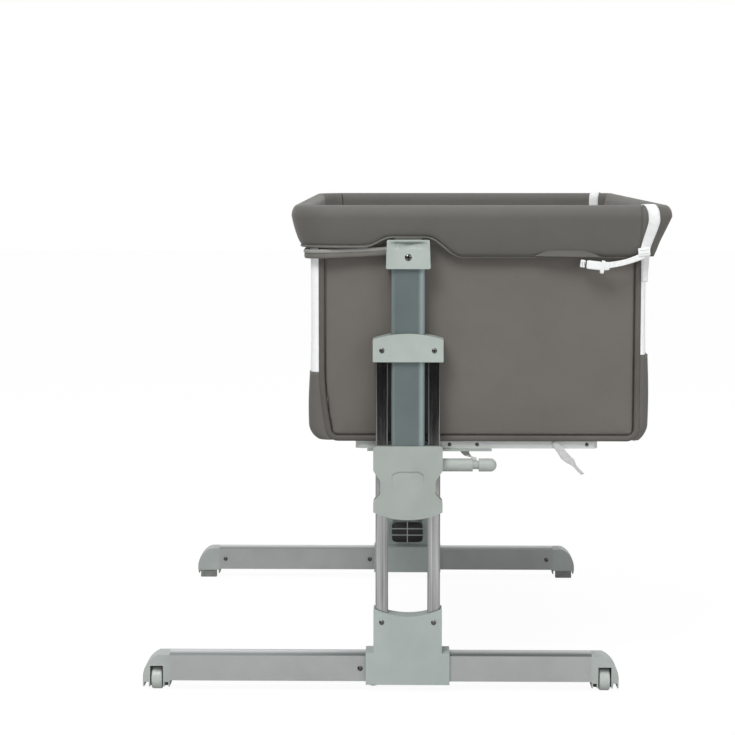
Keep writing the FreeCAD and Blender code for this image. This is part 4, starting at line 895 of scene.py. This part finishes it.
def strip_along(name, centres, outward, half_width, height, sides=9):
    """A half-round welt along centres: half_width to each side in the face, height out of it."""
    centres = np.asarray(centres)
    along = unit(np.gradient(centres, axis=0))
    outward = unit(np.broadcast_to(np.asarray(outward, dtype=float), centres.shape))
    across = unit(np.cross(along, outward))
    angle = np.linspace(0, np.pi, sides)
    angle = np.concatenate([angle, [1.18 * np.pi, 1.82 * np.pi]])
    ring = across[:, None] * np.cos(angle)[None, :, None] * half_width
    ring = ring + outward[:, None] * np.sin(angle)[None, :, None] * height
    return facing_out(surface(name, centres[:, None] + ring, round_columns=True, ends=True))


def wall_outline(outset, radius, foot, face):
    """The line round an end wall, outset from its seams: down the left, along the foot, up the right.

    The two lower corners are quarter circles of the radius. The foot's height and the face's depth
    are given."""
    top = panel_high.z - 30 * mm
    zs = np.linspace(top, foot + radius, 30)
    left = wall_edge(zs, -1) - outset
    right = wall_edge(zs, 1) + outset
    turn = np.linspace(0, np.pi / 2, 9)[1:]
    corner_x = radius * (1 - np.cos(turn))
    corner_z = foot + radius * (1 - np.sin(turn))
    x = np.concatenate([left, left[-1] + corner_x, right[-1] - corner_x[::-1], right[::-1]])
    z = np.concatenate([zs, corner_z, corner_z[::-1], zs[::-1]])
    return even_line(np.stack([x, np.full_like(x, face), z], 1), 420)


def wall_binding():
    """The welt that joins an end wall to the basket's sides and floor."""
    line = wall_outline(4.2 * mm, 15 * mm, basket_low + 3.6 * mm, panel_low.y + 1.6 * mm)
    return strip_along("near_wall_binding", line, (0, -1, 0), 4.4 * mm, 2.6 * mm)


def seam_line():
    """The dark sewn line between an end wall and its welt."""
    line = wall_outline(-0.4 * mm, 10 * mm, basket_low + 8.2 * mm, panel_low.y + 1.4 * mm)
    return strip_along("near_wall_seam", line, (0, -1, 0), 0.9 * mm, 0.8 * mm, 5)


# each: share of the wall's length, length up it, start
side_wall_ripples = [(0.018, 31 * mm, 0.2), (0.041, -22 * mm, 1.4), (0.027, 60 * mm, 2.2)]


def side_wall(name, outer, facing, top):
    """The padded lower part of a long side: a U in plan carried up a profile.

    The profile's foot is a quarter circle turned in under the floor. The wall swells at mid-height as
    a power of half a sine, and its two ends follow the end walls' seams."""
    foot = 26 * mm
    turn = np.linspace(0.16 * np.pi, np.pi / 2, 9)
    low_in = foot * (1 - np.sin(turn))
    low_z = basket_low - 2.4 * mm + foot * (1 - np.cos(turn))
    high_z = np.linspace(low_z[-1], top, 16)[1:]
    z = np.concatenate([low_z, high_z])
    inset = np.concatenate([low_in, np.zeros(len(high_z))])
    up = (z - basket_low) / (top - basket_low)
    swell = 2.2 * mm * np.sin(np.pi * np.clip(up, 0, 1)) ** 1.2
    rings = []
    end_y = -panel_low.y - 1.2 * mm
    for height, step, grow in zip(z, inset, swell):
        edge = wall_edge(np.array([height]), facing)[0] + facing * 1.0 * mm
        side_x = outer - facing * step + facing * grow
        radius = min(wall_turn, max(abs(side_x - edge) - 0.4 * mm, 2 * mm))
        path, _ = u_path(edge, side_x, end_y, radius, 6, 10, 30)
        rings.append(np.column_stack([path, np.full(len(path), height)]))
    skin = np.stack(rings)
    share_along = np.linspace(0, 1, skin.shape[1])[None]
    skin[..., 0] += facing * 0.5 * mm * ripple(share_along, skin[..., 2], side_wall_ripples)
    return walled(surface(name, skin, turned=facing > 0), 3 * mm)


def net_wall(name, outer, edge, facing, low, high):
    """The net of a long side: a U in plan carried straight up, drawn in by half a sine between its hems."""
    rings = []
    end_y = -panel_low.y - 1.5 * mm
    for share in np.linspace(0, 1, 14):
        side_x = outer - facing * 1.2 * mm * math.sin(math.pi * share)
        radius = min(wall_turn, abs(side_x - edge) - 0.5 * mm)
        path, _ = u_path(edge, side_x, end_y, radius, 6, 10, 30)
        rings.append(np.column_stack([path, np.full(len(path), low + (high - low) * share)]))
    skin = np.stack(rings)
    return surface(name, skin, turned=facing > 0), skin


def flat_size(skin):
    """A sheet's width and height as cut, from its own grid."""
    width = np.linalg.norm(np.diff(skin, axis=1), axis=2).sum(1).mean()
    height = np.linalg.norm(np.diff(skin, axis=0), axis=2).sum(0).mean()
    return float(width), float(height)


def end_walls():
    nodes = ("near_end_panel", "far_end_panel")
    for piece in both_ends(end_wall(), "far_end_wall", wall_cloth, "panel_cloth", "basket", *nodes):
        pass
    both_ends(wall_binding(), "far_wall_binding", binding_cloth, "panel_cloth", "basket")
    both_ends(seam_line(), "far_wall_seam", seam_thread, "panel_cloth", "basket")


def side_walls():
    left = side_wall("left_lower_wall", left_low.x, -1, left_high.z)
    right = side_wall("bed_lower_wall", right_high.x, 1, hinge_height - 0.4 * mm)
    for piece, node in ((left, "left_side_panel"), (right, "right_side_panel")):
        dressed(piece, side_cloth, "basket", node)


def nets():
    low, high = left_net_low.z, left_net_high.z
    left, skin = net_wall("left_net", left_net_low.x, seam_left - 0.6 * mm, -1, low, high)
    dressed(left, net, "basket", "left_mesh")
    low, high = drop_net_low.z, drop_net_high.z
    bed, skin = net_wall("bed_net", drop_net_high.x, seam_right + 0.6 * mm, 1, low, high)
    dressed(bed, net, "drop_side", "drop_mesh")


def under_cloth():
    """The cloth under the floor: a level sheet with slow sags that fade towards its edges."""
    xs = np.linspace(cloth_low.x, cloth_high.x, 40)
    ys = np.linspace(cloth_low.y, cloth_high.y, 70)
    x, y = np.meshgrid(xs, ys, indexing="ij")
    seeds = [(60 * mm, 80 * mm, 0.1), (35 * mm, -90 * mm, 2.0)]
    to_side = np.minimum(x - cloth_low.x, cloth_high.x - x)
    to_end = np.minimum(y - cloth_low.y, cloth_high.y - y)
    fade = np.clip(np.minimum(to_side, to_end) / (30 * mm), 0, 1)
    z = cloth_low.z + 0.5 * mm - 0.35 * mm * ripple(x, y, seeds) * fade
    skin = np.stack([x, y, z], -1)
    piece = walled(surface("floor_cloth", skin), 1.0 * mm, 1.0)
    dressed(piece, floor_cloth, "basket", "base_cloth")
    flat_size(skin.transpose(1, 0, 2))


# each: how far the ring lies inside the mattress's sides in mm, share of its height
mattress_levels = [
    (60, 0.0),
    (14, 0.0),
    (4, 0.05),
    (0, 0.17),
    (3.4, 0.44),
    (0, 0.70),
    (4, 0.83),
    (14, 0.90),
    (60, 0.96),
    (120, 1.0),
]
lower_ring, upper_ring = 3, 5


def mattress_rings(slack):
    """The mattress as rings that shrink from its waist to its crown, all drawn in by the slack.

    A ring is a squared oval: each axis is a cosine or sine raised to a low power."""
    half_x = (pad_high.x - pad_low.x) / 2
    half_y = (pad_high.y - pad_low.y) / 2
    middle = (pad_high.x + pad_low.x) / 2
    tall = pad_high.z - pad_low.z
    turn = np.linspace(0, 2 * np.pi, 160, endpoint=False)
    corner_power = 0.16
    cosine = np.sign(np.cos(turn)) * np.abs(np.cos(turn)) ** corner_power
    sine = np.sign(np.sin(turn)) * np.abs(np.sin(turn)) ** corner_power
    rings = []
    for inset, height in mattress_levels:
        x = middle + (half_x - inset * mm - slack) * cosine
        y = (half_y - inset * mm - slack) * sine
        rings.append(np.stack([x, y, np.full_like(x, pad_low.z + tall * height)], 1))
    return np.stack(rings)


def mattress():
    """The filled mattress with a piping cord round its upper and its lower edge."""
    rings = mattress_rings(2.0 * mm)
    piece = coat(facing_out(surface("sleeping_pad", rings, round_columns=True, ends=True)), mattress_cloth)
    middle = (pad_high.x + pad_low.x) / 2
    half_x = (pad_high.x - pad_low.x) / 2

    def held(points):
        """True by both piped edges and on the foot."""
        x, y, z = points.T
        by_side = (np.abs(x - middle) > half_x - 7 * mm) | (np.abs(y) > pad_high.y - 7 * mm)
        by_lower = np.abs(z - rings[lower_ring, 0, 2]) < 3 * mm
        by_upper = np.abs(z - rings[upper_ring, 0, 2]) < 3 * mm
        return ((by_lower | by_upper) & by_side) | (z < pad_low.z + 2 * mm)

    filled(piece, 6.5 * mm, 5 * mm, held)
    dressed(piece, mattress_cloth, "basket", "mattress")
    for name, ring in (("lower_piping", rings[lower_ring]), ("upper_piping", rings[upper_ring])):
        closed = smooth_line(np.vstack([ring, ring[:1]]), 260)[:-1]
        dressed(piping(name, closed, 1.7 * mm), mattress_cloth, "basket")


def piping(name, line, radius):
    """A round cord along a level closed line."""
    along = unit(np.roll(line, -1, 0) - np.roll(line, 1, 0))
    up = np.array([0.0, 0.0, 1.0])
    out = unit(np.cross(along, up))
    angle = np.linspace(0, 2 * np.pi, 8, endpoint=False)
    ring = out[:, None] * np.cos(angle)[None, :, None] + up * np.sin(angle)[None, :, None]
    return facing_out(surface(name, line[:, None] + radius * ring, round_rows=True, round_columns=True))


# ---- filling the padded pieces ----------------------------------------------------------------------
def baked(piece):
    """Puts a piece's finished shape, with its modifiers worked out, into its own mesh."""
    graph = bpy.context.evaluated_depsgraph_get()
    graph.update()
    mesh = bpy.data.meshes.new_from_object(piece.evaluated_get(graph))
    piece.modifiers.clear()
    piece.data = mesh
    return piece


filling_pressure = 4.0
cloth_firmness = 20.0
filling_frames = 20


def filled(piece, cell, cap, held):
    """Blows a padded piece up as its filling does: remeshed in cells, then cloth under inner pressure.

    held(points) is true where a seam or the floor holds the cloth. No point moves further than cap."""
    baked(piece)
    remesh = piece.modifiers.new("cells", "REMESH")
    remesh.mode = "VOXEL"
    remesh.voxel_size = cell
    baked(piece)
    start = points_of(piece)
    seam = piece.vertex_groups.new(name="held")
    seam.add(np.flatnonzero(held(start)).tolist(), 1.0, "REPLACE")
    cloth = piece.modifiers.new("filling", "CLOTH")
    cloth.settings.quality = 5
    cloth.settings.mass = 0.3
    cloth.settings.tension_stiffness = cloth_firmness
    cloth.settings.compression_stiffness = cloth_firmness
    cloth.settings.shear_stiffness = cloth_firmness / 2
    cloth.settings.bending_stiffness = 0.6
    cloth.settings.use_pressure = True
    cloth.settings.uniform_pressure_force = filling_pressure
    cloth.settings.effector_weights.gravity = 0
    cloth.settings.vertex_group_mass = "held"
    cloth.point_cache.frame_start = 1
    cloth.point_cache.frame_end = filling_frames
    for moment in range(1, filling_frames + 1):
        bpy.context.scene.frame_set(moment)
    baked(piece)
    moved = points_of(piece) - start
    length = np.linalg.norm(moved, axis=1, keepdims=True)
    moved *= np.minimum(1, cap / np.maximum(length, 1e-9))
    piece.data.vertices.foreach_set("co", (start + moved).ravel())
    piece.data.update()
    piece.vertex_groups.clear()
    bpy.context.scene.frame_set(1)
    finer = piece.modifiers.new("finer", "SUBSURF")
    finer.levels = 1
    finer.render_levels = 1
    baked(piece)
    piece.data.polygons.foreach_set("use_smooth", np.ones(len(piece.data.polygons), dtype=bool))
    return piece


# ---- pieces beside the CAD's: the grille and the tube's sleeve ---------------------------------------
def bracket_grille():
    """The grille in a base bracket's inner face: a dark block as painted shade in its opening, behind one
    upright and two level bars.
    """
    face = sleeve_high.y
    z = (sleeve_high.z + beam_high.z) / 2 - 3.5 * mm
    half_wide, half_high = 29 * mm, 19 * mm
    deep = [(column_x, face - 0.4 * mm, z), (column_x, face + 0.3 * mm, z)]
    # a near-black block as painted shade where the opening is
    opening_shade = squared_bar("near_grille_painted_shade", deep, half_wide, half_high, (1, 0, 0), 0.3)
    both_ends(opening_shade, "far_grille_painted_shade", painted_shade_plastic, "housing_plastic", "carriage")
    bar_face = face + 0.5 * mm
    bars = [[(column_x, bar_face, z - half_high), (column_x, bar_face, z + half_high)]]
    for up in (-5.5 * mm, 6.5 * mm):
        bars.append([(column_x + side * half_wide, bar_face, z + up) for side in (-1, 1)])
    for i, ends in enumerate(bars):
        bar = bar_between(f"near_grille_bar_{i}", *ends, 0.7 * mm, 0.9 * mm, 0)
        both_ends(bar, f"far_grille_bar_{i}", bracket_plastic, "housing_plastic", "carriage")


def barrier_sleeve():
    """The cloth sleeve that holds the barrier tube in the bed side's upper edge."""
    low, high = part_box("barrier_tube")
    x = (low.x + high.x) / 2
    z = (low.z + high.z) / 2
    y = np.linspace(low.y + 1 * mm, high.y - 1 * mm, 60)
    line = np.stack([np.full_like(y, x - 1.2 * mm), y, np.full_like(y, z)], 1)
    sleeve = tube_along("barrier_sleeve", line, 9.6 * mm, 9.2 * mm, (1, 0, 0), 20)
    dressed(sleeve, side_cloth, "basket")


# ---- hems, straps and buckle ------------------------------------------------------------------------
def hem_roll(skin):
    """The rolled hem round the fixed cover: an oval tube inside the skirt's last line of points.

    It thins out towards the bed, and a little where the hem arches over the top bracket."""
    hem = skin[:, -1]
    along = unit(np.gradient(hem, axis=0))
    inwards = np.stack([-along[:, 1], along[:, 0], np.zeros(len(hem))], 1)
    inwards *= -np.sign((inwards * (hem - np.array([column_x, 0, 0]))).sum(1, keepdims=True))
    line = hem + inwards * 2.4 * mm - np.array([0, 0, 1.8 * mm])
    thin_from, thin_over = column_x + 84 * mm, 40 * mm
    size = np.clip((thin_from - hem[:, 0]) / thin_over, 0.3, 1)
    size = np.where(hem[:, 2] > left_hem + 1 * mm, np.minimum(size, 0.75), size)
    return tube_along("hem_roll", line, 2.3 * mm * size, 4.0 * mm * size, (0, 0, 1))


def under_roll(name, at_corner, at_column, half_high, depth):
    """A band below the hem at the left: it rises towards the top bracket along the near end as a power
    of its share of the way, and turns the corner level to run along the left side."""
    end_x = column_x - 28 * mm
    side_x = cover_low.x + depth
    path, _ = u_path(end_x, side_x, rim_end - depth, 34 * mm, 34, 10, 30)
    share = np.clip((path[:, 0] - side_x) / (end_x - side_x), 0, 1)
    z = at_corner + (at_column - at_corner) * share**1.3
    return tube_along(name, np.column_stack([path, z]), half_high, 1.8 * mm, (0, 0, 1))


def inner_seams(skin):
    """The sewn joints of the cover's inner skirt, just before the left corner of each end."""
    crown_column, inner_columns = 16, 13
    crown = skin[:, crown_column]
    seam_x = cover_low.x + 48 * mm
    for name, wanted in (("far_corner_seam", 1), ("near_corner_seam", -1)):
        other_end = np.sign(crown[:, 1]) != wanted
        row = int(np.argmin(np.abs(crown[:, 0] - seam_x) + 10 * other_end))
        line = smooth_line(skin[row, :inner_columns], 40)
        across = unit(skin[row + 1, 3] - skin[row, 3])
        outward = np.cross(unit(np.gradient(line, axis=0)), across)
        outward *= np.sign(outward[0, 1]) * -wanted
        piece = strip_along(name, line, outward, 1.0 * mm, 0.8 * mm, 5)
        dressed(piece, seam_thread, "basket")


def strap_over_rim():
    """White webbing from inside the basket over the rim's crown and down the cover to the corner.

    Over the crown it is an ellipse a gap outside the cover's own, and it drifts towards the bed. Its
    fall is a route in millimetres from the widest line's outer side."""
    gap = 1.1 * mm
    middle = -rim_end + rim_overhang
    reach = rim_overhang + gap
    turn = np.linspace(np.pi, 0.12 * np.pi, 9)
    crown_z = rim_widest + (rim_top + gap - rim_widest) * np.sin(turn)
    crown_x = rim_strap_x + np.array([-6.8, -6.6, -6.0, -5.0, -3.6, -1.8, 0.4, 2.6, 4.2]) * mm
    crown = np.stack([crown_x, middle + reach * -np.cos(turn), crown_z], 1)
    inside = [(rim_strap_x - 7.5 * mm, middle + reach + 2.4 * mm, rim_widest - 22 * mm)]
    route = np.array([
        (5.2, 0.3, -3.0),
        (4.4, 1.6, -10.0),
        (1.0, 5.2, -22.0),
        (-3.4, 9.6, -36.0),
        (-6.2, 11.8, -46.0),
        (-7.4, 11.6, -52.0),
    ])
    fall = np.array([rim_strap_x, middle - reach, rim_widest]) + route * mm
    points = np.vstack([inside, crown, fall])
    half_widths = [8.3 * mm] * 6 + [8.0 * mm, 7.4 * mm, 6.8 * mm]
    return webbing("near_rim_strap", points, (1, 0, 0), half_widths, 1.4 * mm, 90)


def strap_to_buckle():
    """White webbing from the slide to the buckle, which sags and bows outwards as half a sine."""
    start = np.array([buckle_strap_x, slide_low.y + 4.0 * mm, side_hem + 3.0 * mm])
    end = np.array([buckle_middle.x + 17 * mm, buckle_middle.y, buckle_middle.z + 1.0 * mm])
    share = np.linspace(0, 1, 7)[:, None]
    points = start + (end - start) * share
    points[:, 2] -= 2.6 * mm * np.sin(np.pi * share[:, 0])
    points[:, 1] -= 0.8 * mm * np.sin(np.pi * share[:, 0])
    half_widths = [5.2 * mm, 4.2 * mm, 4.4 * mm]
    return webbing("near_buckle_strap", points, (0, 0.1, 1), half_widths, 1.3 * mm, 40)


def bar_between(name, start, end, half_wide, half_high, soften=0.25):
    """A moulded block from start to end, wide in y and high in z, whose ends narrow by the soften share."""
    start = np.asarray(start, dtype=float)
    end = np.asarray(end, dtype=float)
    share = np.array([0, 0.015, 0.06, 0.15, 0.5, 0.85, 0.94, 0.985, 1.0])
    taper = 1 - soften * np.array([1, 0.55, 0.2, 0, 0, 0, 0.2, 0.55, 1])
    points = start + (end - start) * share[:, None]
    return squared_bar(name, points, half_wide * taper, half_high * taper, (0, 1, 0), 0.4)


def buckle_block(part, start, end, half_wide, half_high, finish, body, node=None, soften=0.25):
    """A block of the buckle. Its ends are given in mm from the buckle's middle: along it, and up."""
    x, y, z = buckle_middle
    places = [(x + along * mm, y, z + up * mm) for along, up in (start, end)]
    block = bar_between(f"near_buckle_{part}", *places, half_wide * mm, half_high * mm, soften)
    both_ends(block, f"far_buckle_{part}", finish, "buckle_plastic", body, node)


def buckle_parts():
    """The side-release buckle: latch body, toothed inlet, dark blocks as painted shade in its gap and two
    slots, and the plug's flange and neck.
    """
    white, dark = buckle_plastic, painted_shade_plastic
    buckle_block("body", (-12.5, 2.6), (9.0, 0.2), 3.5, 6.4, white, "basket", "buckle_sockets")
    buckle_block("inlet", (-21.5, 4.2), (-14.5, 3.2), 3.2, 5.6, white, "basket")
    buckle_block("gap_shade", (-15.5, 3.2), (10.5, 0.4), 2.2, 4.6, dark, "basket")
    buckle_block("flange", (8.2, -0.8), (14.0, -1.8), 3.7, 9.6, white, "drop_side", "buckle_plugs", 0.3)
    buckle_block("neck", (13.0, -0.2), (20.5, 0.4), 2.8, 6.0, white, "drop_side")
    # the slots' dark blocks are painted shade
    for i in (0, 1):
        step = 3.2 * i
        ends = (-19.6 + step, 6.4), (-18.4 + step, 1.2)
        buckle_block(f"slot_{i}", *ends, 3.36, 0.5, dark, "basket", soften=0.0)


def slide_parts():
    """The three-bar slide at the corner: a moulded frame with two slots that the webbing fills."""
    x = (slide_low.x + slide_high.x) / 2 - 1 * mm
    y = slide_low.y + slide_depth
    z = (slide_low.z + slide_high.z) / 2
    half_body, half_slot = 8.6 * mm, 6.4 * mm
    ends = (x - half_body, y, z - 0.6 * mm), (x + half_body, y, z + 1.0 * mm)
    body = bar_between("near_slide", *ends, 2.6 * mm, 6.2 * mm, 0.15)
    both_ends(body, "far_slide", buckle_plastic, "buckle_plastic", "drop_side", "strap_adjusters")
    for i, up in enumerate((-2.4 * mm, 2.6 * mm)):
        ends = (x - half_slot, y, z + up - 0.6 * mm), (x + half_slot, y, z + up + 0.6 * mm)
        slot = bar_between(f"near_slide_slot_{i}", *ends, 2.72 * mm, 0.55 * mm, 0)
        both_ends(slot, f"far_slide_slot_{i}", grey_webbing, "buckle_plastic", "drop_side")


def corner_strap():
    """The strap's other run, straight down the net's corner from the slide."""
    x = corner_strap_x
    y = panel_low.y - 1.6 * mm
    points = [
        (x, slide_low.y + 6.5 * mm, side_hem + 4 * mm),
        (x + 0.5 * mm, slide_low.y + 12 * mm, side_hem - 6 * mm),
        (x + 0.8 * mm, y - 6 * mm, side_hem - 20 * mm),
        (x + 0.8 * mm, y - 2.0 * mm, side_hem - 38 * mm),
    ]
    half_widths = [4.6 * mm, 4.2 * mm, 4.0 * mm]
    return webbing("near_corner_strap", points, (1, 0, 0), half_widths, 1.2 * mm, 24)


def buckle_tab():
    """The cloth tab from under the hem that carries the buckle.

    It is a low trapezium from its short upper edge, which lies on the skirt, to its longer lower edge.
    It bellies out as a power of the drop times a power of half a sine across."""
    across = np.linspace(0, 1, 40)[None]
    down = np.linspace(0, 1, 12)[:, None]
    left = tab_upper[0] + (tab_lower[0] - tab_upper[0]) * down
    right = tab_upper[1] + (tab_lower[1] - tab_upper[1]) * down
    x = left + (right - left) * across
    z = side_hem + 9.0 * mm - 8.6 * mm * down - 1.6 * mm * down * across
    slope = hem_tuck / (rim_widest - side_hem)
    skirt = -rim_end + slope * (rim_widest - z)
    bulge = np.sin(np.pi * across) ** 0.6
    y = skirt - 0.5 * mm - 5.0 * mm * down**1.2 * bulge
    skin = np.stack([x, y, z], -1)
    return walled(surface("near_buckle_tab", skin), 1.2 * mm, 0.0), skin


def post_loop():
    """The short fastening strap from the lower frame down round the strap post."""
    head_length, neck_length = 28.5 * mm, 4.5 * mm
    neck = post_high.x - head_length - neck_length
    y = -bar_high.y - 3.0 * mm
    low = post_high.z
    points = [
        (neck - 14 * mm, y + 9.0 * mm, bar_low.z - 3.0 * mm),
        (neck - 13 * mm, y + 5.5 * mm, bar_low.z - 7 * mm),
        (neck - 8 * mm, y + 0.6 * mm, bar_low.z - 11.5 * mm),
        (neck - 1.5 * mm, y - 9.0 * mm, low + 0.9 * mm),
        (neck, y - 12.4 * mm, low - 5 * mm),
    ]
    half_widths = [7.0 * mm, 6.6 * mm, 5.4 * mm, 4.2 * mm, 4.0 * mm]
    return webbing("near_post_loop", points, (1, 0, -0.25), half_widths, 1.2 * mm, 40)


def loose_end():
    """The loose end of a fastening strap below the lower frame, narrowing to its sewn tip."""
    y = -bar_high.y - 1.6 * mm
    points = [
        (column_x + 219 * mm, y, bar_high.z - 0.6 * mm),
        (column_x + 222 * mm, y - 0.4 * mm, bar_low.z + 4.0 * mm),
        (column_x + 228 * mm, y - 0.8 * mm, bar_low.z - 4.0 * mm),
        (column_x + 235 * mm, y - 1.6 * mm, bar_low.z - 13 * mm),
        (column_x + 241 * mm, y - 1.8 * mm, bar_low.z - 18 * mm),
        (column_x + 253 * mm, y - 1.2 * mm, bar_low.z - 31 * mm),
        (column_x + 260 * mm, y - 1.0 * mm, bar_low.z - 38 * mm),
    ]
    half_widths = [5.5 * mm, 5.5 * mm, 6.0 * mm, 7.0 * mm, 6.6 * mm, 2.8 * mm, 2.6 * mm, 2.6 * mm]
    return webbing("near_loose_end", points, (1, 0, 0.35), half_widths, 1.2 * mm, 40)


def hems(skin):
    dressed(hem_roll(skin), hem_cloth, "basket")
    tape = under_roll("hem_tape", left_hem - 9.6 * mm, left_hem - 4.6 * mm, 2.9 * mm, 20 * mm)
    dressed(tape, tape_cloth, "basket")
    roll = under_roll("wall_roll", left_hem - 16.0 * mm, left_hem - 10.0 * mm, 4.2 * mm, 21 * mm)
    dressed(roll, hem_cloth, "basket")
    inner_seams(skin)


def straps_and_buckles():
    white = (white_webbing, "white_webbing", "drop_side")
    both_ends(strap_over_rim(), "far_rim_strap", *white, "rim_straps")
    both_ends(strap_to_buckle(), "far_buckle_strap", *white)
    both_ends(corner_strap(), "far_corner_strap", *white)
    buckle_parts()
    slide_parts()
    tab, skin = buckle_tab()
    for piece in both_ends(tab, "far_buckle_tab", cover_cloth_with_painted_shade, "rim_cloth", "basket", "buckle_flaps"):
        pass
    grey = (grey_webbing, "white_webbing", "basket")
    both_ends(post_loop(), "far_post_loop", *grey, "under_straps")
    both_ends(loose_end(), "far_loose_end", *grey)


# ---- stage, light and camera ------------------------------------------------------------------------
def seen_directly(tree):
    """1 where the lens looks at a surface itself or through glass, and 0 for other light."""
    path = tree.nodes.new("ShaderNodeLightPath")
    return combined(tree, path.outputs["Is Camera Ray"], path.outputs["Is Transmission Ray"], "MAXIMUM")


def studio_floor():
    """A pale floor that the lens sees almost as white paper, and that keeps a faint shadow."""
    half_x, back_y, front_y, level = 9.0, 14.0, -2.6, -0.2 * mm
    corners = [(-half_x, front_y), (half_x, front_y), (half_x, back_y), (-half_x, back_y)]
    points = [(x, y, level) for x, y in corners]
    floor = mesh_object("studio_floor", points, [[0, 1, 2, 3]], smooth=False)
    finish, tree, shader = finish_of("studio_paper", 0.9)
    grain = speckle(tree, placed(tree), 3)
    coloured(tree, shader, grain, paint(206, 206, 206), paint(212, 212, 212))
    lamp = tree.nodes.new("ShaderNodeEmission")
    lamp.inputs["Strength"].default_value = 1.08
    mix = tree.nodes.new("ShaderNodeMixShader")
    tree.links.new(combined(tree, seen_directly(tree), 0.88, "MULTIPLY"), mix.inputs[0])
    tree.links.new(shader.outputs[0], mix.inputs[1])
    tree.links.new(lamp.outputs[0], mix.inputs[2])
    tree.links.new(mix.outputs[0], tree.nodes["Material Output"].inputs["Surface"])
    coat(floor, finish)


def studio_world():
    """White where the lens or glass looks past the floor; soft grey light; dark behind the camera."""
    world = bpy.data.worlds.new("studio")
    world.use_nodes = True
    tree = world.node_tree
    tree.nodes.clear()
    path = tree.nodes.new("ShaderNodeLightPath")
    coordinates = tree.nodes.new("ShaderNodeTexCoord")
    parts = tree.nodes.new("ShaderNodeSeparateXYZ")
    tree.links.new(coordinates.outputs["Generated"], parts.inputs[0])
    behind = between(tree, parts.outputs["Y"], 0.0, 1.0, 0.15, -0.35)
    level = between(tree, parts.outputs["Z"], 1.0, 0.45, 0.15, 0.6)
    mirrored = between(tree, combined(tree, behind, level, "MULTIPLY"), 1.0, 0.01)
    strength = mixed(tree, path.outputs["Is Glossy Ray"], 0.40, mirrored, kind="FLOAT")
    strength = mixed(tree, seen_directly(tree), strength, 1.0, kind="FLOAT")
    light = tree.nodes.new("ShaderNodeBackground")
    light.inputs["Color"].default_value = (1, 1, 1, 1)
    tree.links.new(strength, light.inputs["Strength"])
    end = tree.nodes.new("ShaderNodeOutputWorld")
    tree.links.new(light.outputs[0], end.inputs["Surface"])
    bpy.context.scene.world = world


def soft_box(name, place, aim, size, power, mirrored=True):
    """A square lamp at a place, turned to its aim. mirrored says whether polished metal shows it."""
    lamp = bpy.data.lights.new(name, "AREA")
    lamp.shape = "RECTANGLE"
    lamp.size, lamp.size_y = size
    lamp.energy = power
    piece = bpy.data.objects.new(name, lamp)
    bpy.context.scene.collection.objects.link(piece)
    piece.location = place
    piece.visible_glossy = mirrored
    piece.rotation_euler = (Vector(place) - Vector(aim)).to_track_quat("Z", "Y").to_euler()


def camera():
    """The photograph's own camera: its focal length in pixels gives the lens."""
    lens = bpy.data.cameras.new("camera")
    lens.sensor_width = 36.0
    lens.lens = focal_pixels / photo_width * lens.sensor_width
    lens.clip_end = 60
    view = bpy.data.objects.new("camera", lens)
    bpy.context.scene.collection.objects.link(view)
    view.location = camera_place
    view.rotation_euler = (math.pi / 2 - camera_pitch, 0, camera_yaw)
    bpy.context.scene.camera = view


coat_frame()
soften_mouldings()
fixed_skin = rim_cover()
bed_cover()
end_walls()
side_walls()
nets()
under_cloth()
mattress()
hems(fixed_skin)
straps_and_buckles()
bracket_grille()
barrier_sleeve()
camera()
studio_world()
studio_floor()
soft_box("key", (-1.1, -2.9, 3.6), (0.1, -0.3, 0.5), (1.6, 1.6), 100)
soft_box("low", (0.9, -3.3, 0.45), (0.1, 0.4, 0.05), (2.4, 0.6), 10, False)
soft_box("fill", (2.6, -2.6, 1.7), (0.1, -0.2, 0.4), (2.2, 2.2), 24)
soft_box("top", (0.1, 0.5, 3.4), (0.1, 0, 0.4), (2.6, 2.6), 30)
bpy.context.scene.view_settings.view_transform = "Standard"
